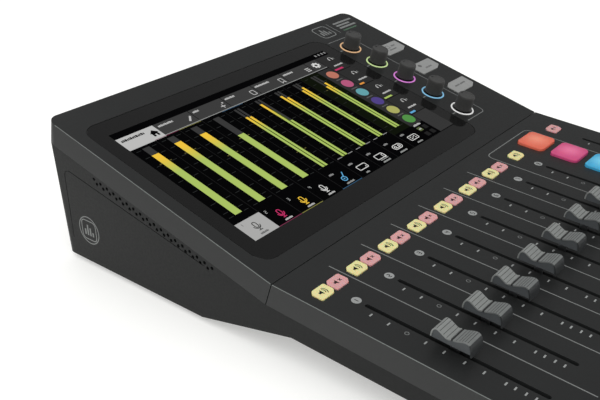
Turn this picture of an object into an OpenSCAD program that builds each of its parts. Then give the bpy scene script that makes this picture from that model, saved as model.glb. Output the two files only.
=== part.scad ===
// Compact digital mixing console: a touch screen deck that rises behind a deck of
// channel faders, in a low case with its sockets at the back.
// Origin: centre of the footprint, on the table. +X right, +Y to the back, +Z up.

/* [Case] */
// Width of both decks between the top edges of the side bands
deck_w = 322.4; // [320:0.2:326]
// Length of the lower deck, from the crease to the front edge
lower_len = 185; // [184:0.5:190]
// Length of the upper deck, from the crease to the back edge
upper_len = 197.3; // [196:0.1:199]
// Slope of the lower deck in degrees
lower_slope = 4.1; // [3.9:0.1:4.3]
// Slope of the upper deck in degrees
upper_slope = 14.9; // [14.7:0.1:15.1]
// Height of the crease between the decks
crease_z = 47.5; // [47:0.1:48]
// Wall thickness of the two deck shells
wall = 2.5; // [2.4:0.1:2.6]
// Height of the sloping band along each side
band_h = 12.5; // [12:0.1:13]
// How far the foot of the band stands out past its top
band_out = 3; // [2.8:0.1:3.2]
// Thickness of the side cheeks
cheek_t = 3; // [2.8:0.1:3.2]
// Thickness of the bottom pan's sheet
pan_t = 2; // [1.8:0.1:2.2]
// Radius of the upright corners at the back
corner_r = 7; // [6:0.5:8]

/* [Grid] */
// Distance from one column of controls to the next
pitch = 31.36; // [31:0.01:31.6]
// Number of channel faders
channels = 8; // [8:1:8]
// Number of pads
pads = 6; // [6:1:6]
// Number of knobs
knobs = 5; // [5:1:5]

/* [Faders] */
// Travel of a fader
fader_travel = 100; // [90:1:100]
// Length of a fader's slot
slot_len = 107; // [106.5:0.5:108]
// Width of a fader's slot
slot_w = 2.8; // [2.6:0.1:3]
// Middle of the slots, in front of the crease
slot_mid = -102.3; // [-103:0.1:-102]
// Place of a cap at rest, from the middle of its slot
cap_rest = -1.5; // [-3:0.1:0]
// Length of a fader's cap
cap_len = 24; // [22:0.5:25]
// Width of a fader's cap
cap_w = 11.5; // [11:0.1:12]
// Height of the cap's top above the deck
cap_top = 12.4; // [12:0.1:13]
// Gap between the cap and the deck
cap_gap = 5.8; // [5:0.1:6]

/* [Keys] */
// Width of a solo or mute key
key_w = 12.6; // [12:0.1:12.7]
// Depth of a solo or mute key
key_d = 9.7; // [9:0.1:10]
// Row of the solo and mute keys, in front of the crease
key_row = -25.3; // [-27:0.1:-25]
// How far the keys stand out of the deck
key_out = 0.7; // [0.6:0.1:1]
// Travel of the keys, pads and buttons
key_travel = 0.6; // [0.5:0.1:0.7]
// Width of a pad
pad_w = 24.6; // [24:0.1:26]
// Depth of a pad
pad_d = 21; // [20:0.5:22]
// Distance from one pad to the next
pad_pitch = 26.3; // [26:0.1:26.4]
// Place of the first pad, in front of the crease
pad_row = -26; // [-28:0.1:-26]
// How far the pads stand out of the deck
pad_out = 3; // [2.6:0.1:3.2]
// Width of a function button
button_w = 27.8; // [26:0.1:28]
// Depth of a function button
button_d = 14.6; // [14:0.1:15]

/* [Knobs] */
// Diameter of a knob
knob_dia = 13.6; // [13:0.1:14]
// Height of a knob's top above the deck
knob_top = 12.5; // [12:0.5:14]
// Outer diameter of a light ring
ring_dia = 18.4; // [18:0.1:19]
// Width of a light ring
ring_w = 1.2; // [1:0.1:1.6]
// Distance from one knob to the next
knob_pitch = 28.05; // [27.8:0.05:28.4]
// Middle of the row of knobs, behind the crease
knob_mid = 95; // [94.5:0.1:95.5]

/* [Screen] */
// Width of the screen's glass
glass_w = 246.5; // [245:0.5:247]
// Depth of the screen's glass
glass_d = 161.5; // [160:0.5:162]
// Corner radius of the glass
glass_r = 11; // [10:0.5:12]

/* [Hidden] */
$fn = 48;
eps = 0.01;
// How far a cutter runs past the face that it opens
over = 1;
// Size of the blocks that cut the shells along a plane, and how far shells run past them
big = 500;
past = 10;

// Clearance between parts that move past each other, and seam between shells
gap = 0.3;
seam = 0.3;

foot_h = 4;
half_top = deck_w / 2;
half_w = half_top + band_out;
crease_y = (lower_len * cos(lower_slope) - upper_len * cos(upper_slope)) / 2;
rear_lean = 3.46;

// Columns of controls, counted from the left: 0 to 7 channels, 8 pads, 9 main fader
function col_x(i) = (i - (channels + 1) / 2) * pitch;
pad_col = channels;
main_col = channels + 1;

// Outline of the case below the bands, seen from the side
rear_foot_cut = 3;
rear_foot_y = upper_pt(upper_len, 0)[0]
    - (upper_pt(upper_len, 0)[1] - foot_h - rear_foot_cut) * tan(rear_lean);
flat_front_y = 51.3;
ramp_front = [-19, 20.5];
under_mid = [-93, 17.1];
under_front_z = 12.7;
cheek_in = half_w - seam - cheek_t;
// Front skirt of the lower deck: its depth, the radius of its edge and the face behind it
skirt_z = -21;
front_r = 4;
skirt_back_y = lower_pt(-lower_len + wall + seam, skirt_z)[0];
// Ledges that stand on the pan inside the cheeks, and lips that return behind the rear panel
cheek_ledge = [9, 3];
ledge_in = 8;
lip_w = 5;
// Vents in the cheeks: first place along the upper deck, depth below it and number in a row
vent_rows = [[40.4, -15.7, 18], [43.5, -17.8, 17]];
vent_pitch = 6.16;
vent_dia = 2.4;
// Shallow groove in the cheeks: it runs up beside the vents, then turns down at the back
groove_mid = [167.2, 62.6];
groove_r = 5;
groove_slope = 12.1;
groove_len = 122;
groove_foot = 17;
groove_w = 0.5;
groove_deep = 0.4;
// Tray in the pan, which is let down to carry the front feet
tray_half = 138;
tray_front_y = -160;
tray_front_z = under_mid[1]
    + (tray_front_y - under_mid[0]) * (under_front_z - under_mid[1]) / (skirt_back_y - under_mid[0]);
// Posts that carry the main board
post_x = 128;
post_y = [72, 160];
post_dia = 6;
// Case screws, up through the pan into the cheeks' ledges
screw_x = 156;
screw_y = [62, 110, 158];
screw_dia = 3;
screw_hole = 3.2;
screw_len = 6;
screw_head = [5.6, 1.4];
hex_key = 2.6;
hex_deep = 0.8;
foot_places = [[-130, 163], [130, 163], [-122, -146], [122, -146]];
foot_dia = 18;
foot_sole = 16;

// Rear panel: its top corners are cut to clear the bands
rear_panel_y = 178;
rear_panel_t = 2;
rear_top = 91;
rear_cut = [3, 9];

// Layers below the decks
board_t = 1.6;
fader_board_z = -14;
fader_board_half = 152;
fader_board_y = [-174, -12];
encoder_board_z = -15.6;
encoder_board_half = 13;
encoder_board_y = [22, 168];
main_board_z = 16;
main_board_half = 150;
main_board_y = [62, 172];
chip = [-20, 10, 90, 120, 3];
input_chip = [12, 110, 2];
coils = [for (i = [0:3]) [108 + 10 * i, 100]];
coil_dia = 8;
coil_h = 12;

// Screen: the glass lies on a ledge, just below the deck, and the panel hangs under it
glass_x = -28.4;
glass_y = 94.3;
glass_t = 1.8;
glass_drop = 0.2;
ledge = 3;
module_w = 232;
module_d = 142;
module_t = 5;
module_shift = [-1.3, 0.7];

// Fader bodies, and the levers that run in them
fader_body_len = fader_travel + 26;
fader_body_w = 9;
fader_body_top = -wall - 0.5;
fader_room = [6.4, fader_travel + 18];
fader_mouth = [2.4, fader_travel + 12];
fader_roof = 1.2;
fader_floor = 1.5;
mouth_floor = 3;
lever = [1.2, 5];
lever_in = 3;
slider = [5.6, 10, 4];
slider_below = 2;
index_groove = [1.2, 0.8];
// Cap's side view: where the humps peak, how deep the dip between them is, and its end's edges
hump_y = 9;
dip = 2.9;
cap_side = 2.4;
cap_edge = [[0.7, 2], [1.6, 0.6]];

// Keys: cut corners, the flange under the deck, and the stem
key_cut = 2.4;
// Small cut at a key's or button's two other corners
nib = 0.8;
button_cut = [6, 3];
pair_dx = (key_w + 2 * gap) / 2;
cap_root = -wall - gap - 0.1;
flange_top = -wall - gap;
// Each flange: how much wider and deeper than its key, and its thickness
key_flange = [-1, 2.4, 1.2];
pad_flange = [2, 2, 1];
button_flange = [-1, 2, 1];
stem_z = fader_board_z + key_travel + 0.4;
button_stem_z = -9;
pad_r = 4;
pad_step = 2.5;
pad_rim = pad_out * 0.6;
button_rows = [131, 95.4, 60.6];
button_shift = 1.4;

// Knobs, their shafts and encoders
knob_foot = 0.9;
knob_mark = [1.2, 2, 0.8];
shaft_dia = 6;
shaft_bore = 6.1;
shaft_hole = 9;
encoder_body = [12, 6.5];
bush_dia = 8;
bush_below = 3.4;
bush_floor = 3;
shaft_end = 3.5;
ring_sink = 1;
ring_proud = 0.5;
ring_fit = 0.1;

// Sockets along the back
mic_x = [for (i = [0:3]) -122 + 32 * i];
mic_z = 49;
mic_body = 24;
mic_hole = 24.4;
mic_flange = [26, 31, 1.6];
// The round plug's ring: inner and outer diameter, and depth
mic_ring = [15.4, 19.4, 14];
mic_len = 30;
mic_bore_len = 26;
jack_x = [for (i = [0:5]) 14 + 20 * i];
jack_z = 60;
jack_hole = 10.4;
jack_r = 3.3;
jack_body = [15, 26];
jack_neck = [10, 4];
jack_nut = [13.5, 2];
jack_bore_len = 24;
data_z = 32;
panel_fit = 0.2;
usb_x = [16, 34];
usb_shell = [9.2, 3.5, 9];
usb_r = 1.7;
usb_t = 0.4;
net_x = 58;
net_shell = [16, 13.4, 18];
net_t = 1;
card_x = 90;
card_shell = [25, 3, 24];
card_t = 0.3;
power_x = 122;
power_body = [14, 16];
power_neck = 11;
power_bore = [6.4, 12];
power_pin = [2.1, 12];
// Power switch: a rocker that turns on a pin, in a housing with a flange
switch_x = 144;
switch_z = 34;
switch_body = [13.6, 19.6, 14];
switch_flange = [16, 22, 1];
rocker_w = 10.8;
rocker_half = 8;
rocker_tilt = 8;
rocker_pin = 5;
pin_dia = 4;

function lower_pt(y, z) = [
    crease_y + y * cos(lower_slope) - z * sin(lower_slope),
    crease_z + y * sin(lower_slope) + z * cos(lower_slope)];
function upper_pt(y, z) = [
    crease_y + y * cos(upper_slope) - z * sin(upper_slope),
    crease_z + y * sin(upper_slope) + z * cos(upper_slope)];
// A point on the crease's mitre, at a depth below both decks
function mitre_pt(z) =
    let (mean = (lower_slope + upper_slope) / 2, d = z / cos((upper_slope - lower_slope) / 2))
    [crease_y - d * sin(mean), crease_z + d * cos(mean)];

// ---- Frames and outlines ----

// Places its children on the lower deck: y in front of the crease is negative
module on_lower(x = 0, y = 0, z = 0) {
    translate([0, crease_y, crease_z])
        rotate([lower_slope, 0, 0])
            translate([x, y, z]) children();
}

// Places its children on the upper deck: y runs up the deck from the crease
module on_upper(x = 0, y = 0, z = 0) {
    translate([0, crease_y, crease_z])
        rotate([upper_slope, 0, 0])
            translate([x, y, z]) children();
}

// Extrudes a side view along X, across the case
module across(x0, x1) {
    translate([x0, 0, 0])
        rotate([90, 0, 90])
            linear_extrude(x1 - x0) children();
}

// Extrudes a front view along Y
module along(y0, y1) {
    translate([0, y1, 0])
        rotate([90, 0, 0])
            linear_extrude(y1 - y0) children();
}

// Turns a Z shape so that it points out of the back of the case
module out_back(x, y, z) {
    translate([x, y, z]) rotate([-90, 0, 0]) children();
}

module block(x0, x1, y0, y1, z0, z1) {
    translate([x0, y0, z0]) cube([x1 - x0, y1 - y0, z1 - z0]);
}

module plate(w, d, z0, z1) {
    block(-w / 2, w / 2, -d / 2, d / 2, z0, z1);
}

module round_plate(w, d, r, z0, z1) {
    translate([0, 0, z0]) linear_extrude(z1 - z0) {
        square([w - 2 * r, d], center = true);
        square([w, d - 2 * r], center = true);
        for (sx = [-1, 1], sy = [-1, 1])
            translate([sx * (w / 2 - r), sy * (d / 2 - r)]) circle(r);
    }
}

// Plate with its back left and front right corners cut: cx along X, cy along Y
module cut_plate(w, d, cx, cy, z0, z1) {
    translate([0, 0, z0]) linear_extrude(z1 - z0)
        polygon([[-w / 2, -d / 2 + nib], [-w / 2 + nib, -d / 2],
                 [w / 2 - cx, -d / 2], [w / 2, -d / 2 + cy],
                 [w / 2, d / 2 - nib], [w / 2 - nib, d / 2],
                 [-w / 2 + cx, d / 2], [-w / 2, d / 2 - cy]]);
}

// Front view of a deck with its bands, as a solid outline reaching down to depth z
module deck_outline(inset, top, z) {
    polygon([[-half_top + inset, top], [half_top - inset, top],
             [half_w - inset, -band_h], [half_w - inset, z],
             [-half_w + inset, z], [-half_w + inset, -band_h]]);
}

// ---- Deck shells ----

// Half of space in front of the crease's mitre, less half the seam
module front_of_mitre() {
    translate([0, crease_y, crease_z])
        rotate([(lower_slope + upper_slope) / 2, 0, 0])
            block(-big, big, -big, -seam, -big, big);
}

module behind_mitre() {
    translate([0, crease_y, crease_z])
        rotate([(lower_slope + upper_slope) / 2, 0, 0])
            block(-big, big, seam, big, -big, big);
}

// Half of space in front of the leaning back face, set in by an offset
module front_of_back(inset) {
    back = upper_pt(upper_len, 0);
    translate([0, back[0], back[1]])
        rotate([-rear_lean, 0, 0])
            block(-big, big, -big, -inset, -big, big);
}

// What an upright corner loses to its rounding. Both faces meet along Z, facing n and m,
// and r is left of the corner's radius
module corner_waste(n, m, r) {
    c = -corner_r * (n + m) / (1 + n * m);
    out = r + past;
    linear_extrude(2 * big, center = true) difference() {
        polygon([c, c + out * n, c + out * (n + m), c + out * m]);
        translate(c) circle(r);
    }
}

// Waste at the upper deck's back right corner: its edge leans in with the band, and back
module deck_corner(r) {
    back = upper_pt(upper_len, 0);
    lean_in = atan(band_out / band_h);
    side = [cos(lean_in), -sin(lean_in) * sin(upper_slope), sin(lean_in) * cos(upper_slope)];
    rear = [0, cos(rear_lean), -sin(rear_lean)];
    edge = cross(side, rear) / norm(cross(side, rear));
    tilt = -asin(edge[1]);
    turn = atan2(edge[0], edge[2]);
    ex = [cos(turn), 0, -sin(turn)];
    ey = cross(edge, ex);
    translate([half_top, back[0], back[1]])
        rotate([tilt, turn, 0])
            corner_waste([side * ex, side * ey], [rear * ex, rear * ey], r);
}

module lower_shell() {
    difference() {
        intersection() {
            on_lower() along(-lower_len, past) deck_outline(0, 0, skirt_z);
            on_lower() across(-half_w, half_w) {
                translate([-lower_len + front_r, -front_r]) circle(front_r);
                translate([-lower_len, skirt_z]) square([lower_len + past, -skirt_z - front_r]);
                translate([-lower_len + front_r, -front_r - eps])
                    square([lower_len + past - front_r, front_r + eps]);
            }
            front_of_mitre();
        }
        on_lower() along(-lower_len + wall, 2 * past) deck_outline(wall, -wall, skirt_z - over);
        on_lower()
            block(-half_w - over, half_w + over, -lower_len + wall, 2 * past,
                  skirt_z - over, -band_h);
    }
}

module fader_slots() {
    for (i = [0:main_col])
        if (i != pad_col)
            on_lower(col_x(i), slot_mid)
                round_plate(slot_w, slot_len, slot_w / 2 - eps, -wall - over, over);
}

module key_well() {
    cut_plate(key_w + 2 * gap, key_d + 2 * gap, key_cut, key_cut, -wall - over, over);
}

// A pair's two wells meet where neither is cut
module key_wells() {
    for (i = [0:channels - 2])
        on_lower(col_x(i), key_row) {
            for (s = [-1, 1]) translate([s * pair_dx, 0, 0]) key_well();
            plate(2 * gap, key_d + 2 * gap - 2 * key_cut, -wall - over, over);
        }
    for (i = [channels - 1, main_col]) on_lower(col_x(i), key_row) key_well();
}

module pad_wells() {
    for (i = [0:pads - 1])
        on_lower(col_x(pad_col), pad_row - pad_pitch * i)
            round_plate(pad_w + 2 * gap, pad_d + 2 * gap, pad_r + gap, -wall - over, over);
}

module lower_deck_panel() {
    color([0.20, 0.20, 0.20]) difference() {
        lower_shell();
        fader_slots();
        key_wells();
        pad_wells();
    }
}

module upper_shell() {
    difference() {
        intersection() {
            on_upper() along(-past, upper_len + past) deck_outline(0, 0, -band_h);
            front_of_back(0);
            behind_mitre();
        }
        difference() {
            intersection() {
                on_upper() along(-2 * past, upper_len) deck_outline(wall, -wall, -band_h - over);
                front_of_back(wall);
            }
            deck_corner(corner_r - wall);
            mirror([1, 0, 0]) deck_corner(corner_r - wall);
        }
        deck_corner(corner_r);
        mirror([1, 0, 0]) deck_corner(corner_r);
    }
}

module display_window() {
    on_upper(glass_x, glass_y) {
        round_plate(glass_w + 2 * gap, glass_d + 2 * gap, glass_r, -glass_t - glass_drop, over);
        round_plate(glass_w - 2 * ledge, glass_d - 2 * ledge, glass_r - ledge, -wall - over, over);
    }
}

// A light ring's outline, made larger or smaller all round
module ring(grow) {
    difference() {
        circle(d = ring_dia + grow);
        circle(d = ring_dia - 2 * ring_w - grow);
    }
}

module upper_deck_panel() {
    color([0.20, 0.20, 0.20]) difference() {
        upper_shell();
        display_window();
        for (i = [1:knobs])
            on_upper(col_x(pad_col), knob_y(i)) {
                translate([0, 0, -wall - over]) cylinder(d = shaft_hole, h = wall + 2 * over);
                translate([0, 0, -ring_sink]) linear_extrude(ring_sink + over) ring(ring_fit);
            }
        for (y = button_rows)
            on_upper(col_x(main_col) + button_shift, y)
                cut_plate(button_w + 2 * gap, button_d + 2 * gap, button_cut[0], button_cut[1],
                          -wall - over, over);
    }
}

// ---- Cheeks, pan and rear panel ----

// Side view of the case under the bands
module cheek_outline() {
    drop = -band_h - seam;
    down = drop / cos(upper_slope + rear_lean);
    back = upper_pt(upper_len, 0);
    polygon([
        lower_pt(-lower_len + wall + seam, drop),
        mitre_pt(drop),
        [back[0] + down * sin(rear_lean), back[1] + down * cos(rear_lean)],
        [rear_foot_y, foot_h + rear_foot_cut],
        [rear_foot_y - rear_foot_cut, foot_h],
        [flat_front_y, foot_h],
        ramp_front,
        under_mid,
        [skirt_back_y, under_front_z]]);
}

// Two staggered rows of small vents under the upper band
module vents(x0, x1) {
    for (row = vent_rows, i = [0:row[2] - 1])
        on_upper(x0, row[0] + vent_pitch * i, row[1])
            rotate([0, 90, 0]) cylinder(d = vent_dia, h = x1 - x0, $fn = 8);
}

// Area that the groove bounds, at a distance r from the middle of its corner
module groove_area(r) {
    n = [-sin(groove_slope), cos(groove_slope)];
    front = groove_mid - groove_len * [cos(groove_slope), sin(groove_slope)];
    polygon([
        front, front + r * n, groove_mid + r * n, groove_mid, groove_mid + [r, 0],
        [groove_mid[0] + r, groove_foot], [groove_mid[0], groove_foot]]);
    translate(groove_mid) circle(r);
}

module side_cheek() {
    cheek_out = cheek_in + cheek_t;
    back = upper_pt(upper_len, 0);
    difference() {
        union() {
            across(cheek_in, cheek_out) cheek_outline();
            // Ledge that stands on the pan and takes its screws
            block(cheek_in - cheek_ledge[0], cheek_in + eps, flat_front_y + 2, rear_panel_y - ledge_in,
                  foot_h + pan_t, foot_h + pan_t + cheek_ledge[1]);
            // Lip that returns behind the rear panel
            across(cheek_in - lip_w, cheek_in + eps) intersection() {
                cheek_outline();
                translate([rear_panel_y + gap, 0]) square(big);
            }
        }
        translate([cheek_out, back[0], back[1]])
            rotate([-rear_lean, 0, 0]) corner_waste([1, 0], [0, 1], corner_r);
        vents(cheek_in - over, cheek_out + over);
        across(cheek_out - groove_deep, cheek_out + over) difference() {
            groove_area(groove_r + groove_w / 2);
            groove_area(groove_r - groove_w / 2);
        }
        for (y = screw_y)
            translate([screw_x, y, foot_h]) cylinder(d = screw_hole, h = screw_len + 2);
    }
}

module left_side_cheek() {
    color([0.18, 0.19, 0.19]) mirror([1, 0, 0]) side_cheek();
}

module right_side_cheek() {
    color([0.18, 0.19, 0.19]) side_cheek();
}

// Strip of the pan's sheet that follows the case's underside, as a side view
module pan_strip() {
    polygon([
        [rear_panel_y, foot_h], [flat_front_y, foot_h], ramp_front, under_mid,
        [skirt_back_y, under_front_z], [skirt_back_y, under_front_z + pan_t],
        [under_mid[0], under_mid[1] + pan_t], [ramp_front[0], ramp_front[1] + pan_t],
        [flat_front_y, foot_h + pan_t], [rear_panel_y, foot_h + pan_t]]);
}

// Side wall of the tray, from its floor up to the strip
module tray_wall() {
    polygon([
        [flat_front_y, foot_h], [tray_front_y, foot_h],
        [tray_front_y, tray_front_z + pan_t / 2], [under_mid[0], under_mid[1] + pan_t / 2],
        [ramp_front[0], ramp_front[1] + pan_t / 2], [flat_front_y, foot_h + pan_t / 2]]);
}

module bottom_pan() {
    color([0.12, 0.12, 0.12]) difference() {
        union() {
            across(-cheek_in + gap, cheek_in - gap) pan_strip();
            block(-tray_half, tray_half, tray_front_y, flat_front_y + over, foot_h, foot_h + pan_t);
            across(-tray_half, -tray_half + pan_t) tray_wall();
            across(tray_half - pan_t, tray_half) tray_wall();
            block(-tray_half, tray_half, tray_front_y, tray_front_y + pan_t,
                  foot_h, tray_front_z + pan_t / 2);
            // Posts under the main board
            for (s = [-1, 1], y = post_y)
                translate([s * post_x, y, foot_h + pan_t - eps])
                    cylinder(d = post_dia, h = main_board_z - foot_h - pan_t + eps);
        }
        // The strip is open over the tray
        block(-tray_half + pan_t, tray_half - pan_t, tray_front_y + pan_t, flat_front_y - over,
              foot_h + pan_t, crease_z);
        for (s = [-1, 1], y = screw_y)
            translate([s * screw_x, y, foot_h - over]) cylinder(d = screw_hole, h = screw_len + 2);
    }
}

// Front view of the rear panel: its top corners are cut to clear the bands
module rear_panel_outline() {
    w = cheek_in - gap;
    polygon([[-w, foot_h + pan_t], [w, foot_h + pan_t], [w, rear_top - rear_cut[1]],
             [w - rear_cut[0], rear_top], [-w + rear_cut[0], rear_top],
             [-w, rear_top - rear_cut[1]]]);
}

module rear_panel() {
    y0 = rear_panel_y - rear_panel_t;
    through = rear_panel_t + 2 * over;
    color([0.12, 0.12, 0.12]) difference() {
        along(y0, rear_panel_y) rear_panel_outline();
        for (x = mic_x) out_back(x, y0 - over, mic_z) cylinder(d = mic_hole, h = through);
        for (x = jack_x) out_back(x, y0 - over, jack_z) cylinder(d = jack_hole, h = through);
        for (x = usb_x) out_back(x, y0 - over, data_z)
            round_plate(usb_shell[0] + 2 * panel_fit, usb_shell[1] + 2 * panel_fit,
                        usb_r + panel_fit, 0, through);
        out_back(net_x, y0 - over, data_z)
            plate(net_shell[0] + 2 * panel_fit, net_shell[1] + 2 * panel_fit, 0, through);
        out_back(card_x, y0 - over, data_z)
            plate(card_shell[0] + 2 * panel_fit, card_shell[1] + 2 * panel_fit, 0, through);
        out_back(power_x, y0 - over, data_z)
            cylinder(d = power_neck + 2 * panel_fit, h = through);
        out_back(switch_x, y0 - over, switch_z)
            plate(switch_body[0] + 2 * panel_fit, switch_body[1] + 2 * panel_fit, 0, through);
    }
}

// ---- Screen and boards ----

module display_glass() {
    color([0.05, 0.05, 0.06]) on_upper(glass_x, glass_y)
        round_plate(glass_w, glass_d, glass_r - gap, -glass_t - glass_drop, -glass_drop);
}

module display_panel() {
    top = -glass_t - glass_drop;
    color([0.5, 0.5, 0.52]) on_upper(glass_x + module_shift[0], glass_y + module_shift[1])
        plate(module_w, module_d, top - module_t, top);
}

module main_board() {
    top = main_board_z + board_t;
    color([0.05, 0.3, 0.15]) {
        block(-main_board_half, main_board_half, main_board_y[0], main_board_y[1],
              main_board_z, top);
        // Processor, converters and the supply's capacitors
        block(chip[0], chip[1], chip[2], chip[3], top, top + chip[4]);
        for (x = mic_x)
            translate([x, input_chip[1] + input_chip[0] / 2, top])
                plate(input_chip[0], input_chip[0], 0, input_chip[2]);
        for (p = coils) translate([p[0], p[1], top]) cylinder(d = coil_dia, h = coil_h);
    }
}

module fader_board() {
    color([0.05, 0.3, 0.15]) on_lower()
        block(-fader_board_half, fader_board_half, fader_board_y[0], fader_board_y[1],
              fader_board_z - board_t, fader_board_z);
}

module encoder_board() {
    on_upper(col_x(pad_col)) {
        color([0.05, 0.3, 0.15])
            block(-encoder_board_half, encoder_board_half, encoder_board_y[0], encoder_board_y[1],
                  encoder_board_z - board_t, encoder_board_z);
        color([0.6, 0.6, 0.62])
            for (i = [1:knobs])
                translate([0, knob_y(i), encoder_board_z]) difference() {
                    union() {
                        plate(encoder_body[0], encoder_body[0], -eps, encoder_body[1]);
                        cylinder(d = bush_dia, h = -encoder_board_z - bush_below);
                    }
                    translate([0, 0, bush_floor]) cylinder(d = shaft_bore, h = -encoder_board_z);
                }
    }
}

// ---- Faders ----

module fader_body() {
    floor_z = fader_board_z + fader_floor;
    difference() {
        plate(fader_body_w, fader_body_len, fader_board_z, fader_body_top);
        plate(fader_room[0], fader_room[1], floor_z, fader_body_top - fader_roof);
        plate(fader_mouth[0], fader_mouth[1], fader_board_z + mouth_floor, fader_body_top + over);
    }
}

module fader_bodies() {
    color([0.65, 0.66, 0.68])
        for (i = [0:main_col])
            if (i != pad_col) on_lower(col_x(i), slot_mid) fader_body();
}

// Height of the cap's top at a place along it: two humps with a dip between them
function cap_z(y) = cap_top - dip * pow(cos(90 * min(abs(y), hump_y) / hump_y), 2);

module cap_outline() {
    steps = 9;
    h = cap_len / 2;
    edge = [for (e = cap_edge) [h - e[0], cap_top - e[1]]];
    polygon(concat(
        [[-h, cap_gap], [h, cap_gap], [h, cap_gap + cap_side]],
        edge,
        [for (i = [steps:-1:-steps]) [i * hump_y / steps, cap_z(i * hump_y / steps)]],
        [for (i = [1, 0]) [-edge[i][0], edge[i][1]]],
        [[-h, cap_gap + cap_side]]));
}

module fader(i) {
    slider_top = fader_body_top - slider_below;
    color([0.35, 0.36, 0.36]) on_lower(col_x(i), slot_mid + cap_rest) difference() {
        across(-cap_w / 2, cap_w / 2) cap_outline();
        plate(cap_w + 2 * over, index_groove[0], cap_z(0) - index_groove[1], cap_top + over);
    }
    color([0.7, 0.7, 0.72]) on_lower(col_x(i), slot_mid + cap_rest) {
        plate(lever[0], lever[1], fader_body_top - lever_in, cap_gap + gap);
        plate(slider[0], slider[1], slider_top - slider[2], slider_top);
    }
}

// ---- Keys, pads and buttons ----

// What holds a key under the deck: a flange, and a stem that reaches down to z
module key_foot(w, d, flange, z) {
    plate(w + flange[0], d + flange[1], flange_top - flange[2], flange_top);
    plate(w / 2, d / 2, z, flange_top - flange[2] + eps);
}

module key() {
    cut_plate(key_w, key_d, key_cut, key_cut, cap_root, key_out);
    key_foot(key_w, key_d, key_flange, stem_z);
}

module solo_key(i) {
    dx = i == channels ? 0 : -pair_dx;
    color([0.86, 0.84, 0.61]) on_lower(col_x(i - 1) + dx, key_row) key();
}

module mute_key(i) {
    dx = i == main_col + 1 ? 0 : pair_dx;
    color([0.88, 0.62, 0.63]) on_lower(col_x(i - 1) + dx, key_row) key();
}

pad_colors = [[0.80, 0.39, 0.29], [0.78, 0.29, 0.49], [0.25, 0.6, 0.75], [0.5, 0.35, 0.7],
              [0.8, 0.7, 0.3], [0.4, 0.7, 0.35]];

module pad(i) {
    color(pad_colors[i - 1]) on_lower(col_x(pad_col), pad_row - pad_pitch * (i - 1)) {
        round_plate(pad_w, pad_d, pad_r, cap_root, pad_rim);
        round_plate(pad_w - 2 * pad_step, pad_d - 2 * pad_step, pad_r, pad_rim - eps, pad_out);
        key_foot(pad_w, pad_d, pad_flange, stem_z);
    }
}

module function_button(i) {
    color([0.59, 0.59, 0.59]) on_upper(col_x(main_col) + button_shift, button_rows[i - 1]) {
        cut_plate(button_w, button_d, button_cut[0], button_cut[1], cap_root, key_out);
        key_foot(button_w, button_d, button_flange, button_stem_z);
    }
}

// ---- Knobs ----

function knob_y(i) = knob_mid + knob_pitch * ((knobs + 1) / 2 - i);

module knob(i) {
    color([0.19, 0.19, 0.18]) on_upper(col_x(pad_col), knob_y(i)) {
        difference() {
            translate([0, 0, knob_foot]) cylinder(d = knob_dia, h = knob_top - knob_foot);
            // Pointer groove in the rim
            block(-knob_mark[0] / 2, knob_mark[0] / 2, knob_dia / 2 - knob_mark[1], knob_dia,
                  knob_top - knob_mark[2], knob_top + over);
        }
        translate([0, 0, encoder_board_z + shaft_end])
            cylinder(d = shaft_dia, h = knob_top / 2 - encoder_board_z - shaft_end);
    }
}

module knob_light_rings() {
    color([0.9, 0.9, 0.85])
        for (i = [1:knobs])
            on_upper(col_x(pad_col), knob_y(i), -ring_sink)
                linear_extrude(ring_sink + ring_proud) ring(0);
}

// ---- Sockets on the back ----

// Combination socket: flange, body with a core for the jack, and a ring for the round plug
module mic_socket() {
    difference() {
        union() {
            plate(mic_flange[0], mic_flange[1], 0, mic_flange[2]);
            translate([0, 0, -mic_len]) cylinder(d = mic_body, h = mic_len + over);
        }
        difference() {
            translate([0, 0, -mic_ring[2]]) cylinder(d = mic_ring[1], h = 2 * mic_ring[2]);
            translate([0, 0, -mic_ring[2] - over]) cylinder(d = mic_ring[0], h = mic_ring[2] + 2 * over);
        }
        translate([0, 0, -mic_bore_len]) cylinder(r = jack_r, h = 2 * mic_bore_len);
    }
}

module mic_sockets() {
    color([0.08, 0.08, 0.08])
        for (x = mic_x) out_back(x, rear_panel_y, mic_z) mic_socket();
}

module jack_socket() {
    difference() {
        union() {
            plate(jack_body[0], jack_body[0], -jack_body[1], -rear_panel_t);
            translate([0, 0, -rear_panel_t - eps])
                cylinder(d = jack_neck[0], h = rear_panel_t + jack_neck[1] + eps);
            cylinder(d = jack_nut[0], h = jack_nut[1], $fn = 6);
        }
        translate([0, 0, -jack_bore_len]) cylinder(r = jack_r, h = 2 * jack_bore_len);
    }
}

module jack_sockets() {
    color([0.08, 0.08, 0.08])
        for (x = jack_x) out_back(x, rear_panel_y, jack_z) jack_socket();
}

// Shell of a socket that is open at the back: its width, height and depth
module open_shell(size, t) {
    difference() {
        plate(size[0], size[1], -size[2], 0);
        plate(size[0] - 2 * t, size[1] - 2 * t, -size[2] + t, over);
    }
}

module data_sockets() {
    color([0.62, 0.63, 0.65]) {
        for (x = usb_x) out_back(x, rear_panel_y, data_z) difference() {
            round_plate(usb_shell[0], usb_shell[1], usb_r, -usb_shell[2], 0);
            round_plate(usb_shell[0] - 2 * usb_t, usb_shell[1] - 2 * usb_t, usb_r - usb_t,
                        -usb_shell[2] + over, over);
        }
        out_back(net_x, rear_panel_y, data_z) open_shell(net_shell, net_t);
        out_back(card_x, rear_panel_y, data_z) open_shell(card_shell, card_t);
    }
}

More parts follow.
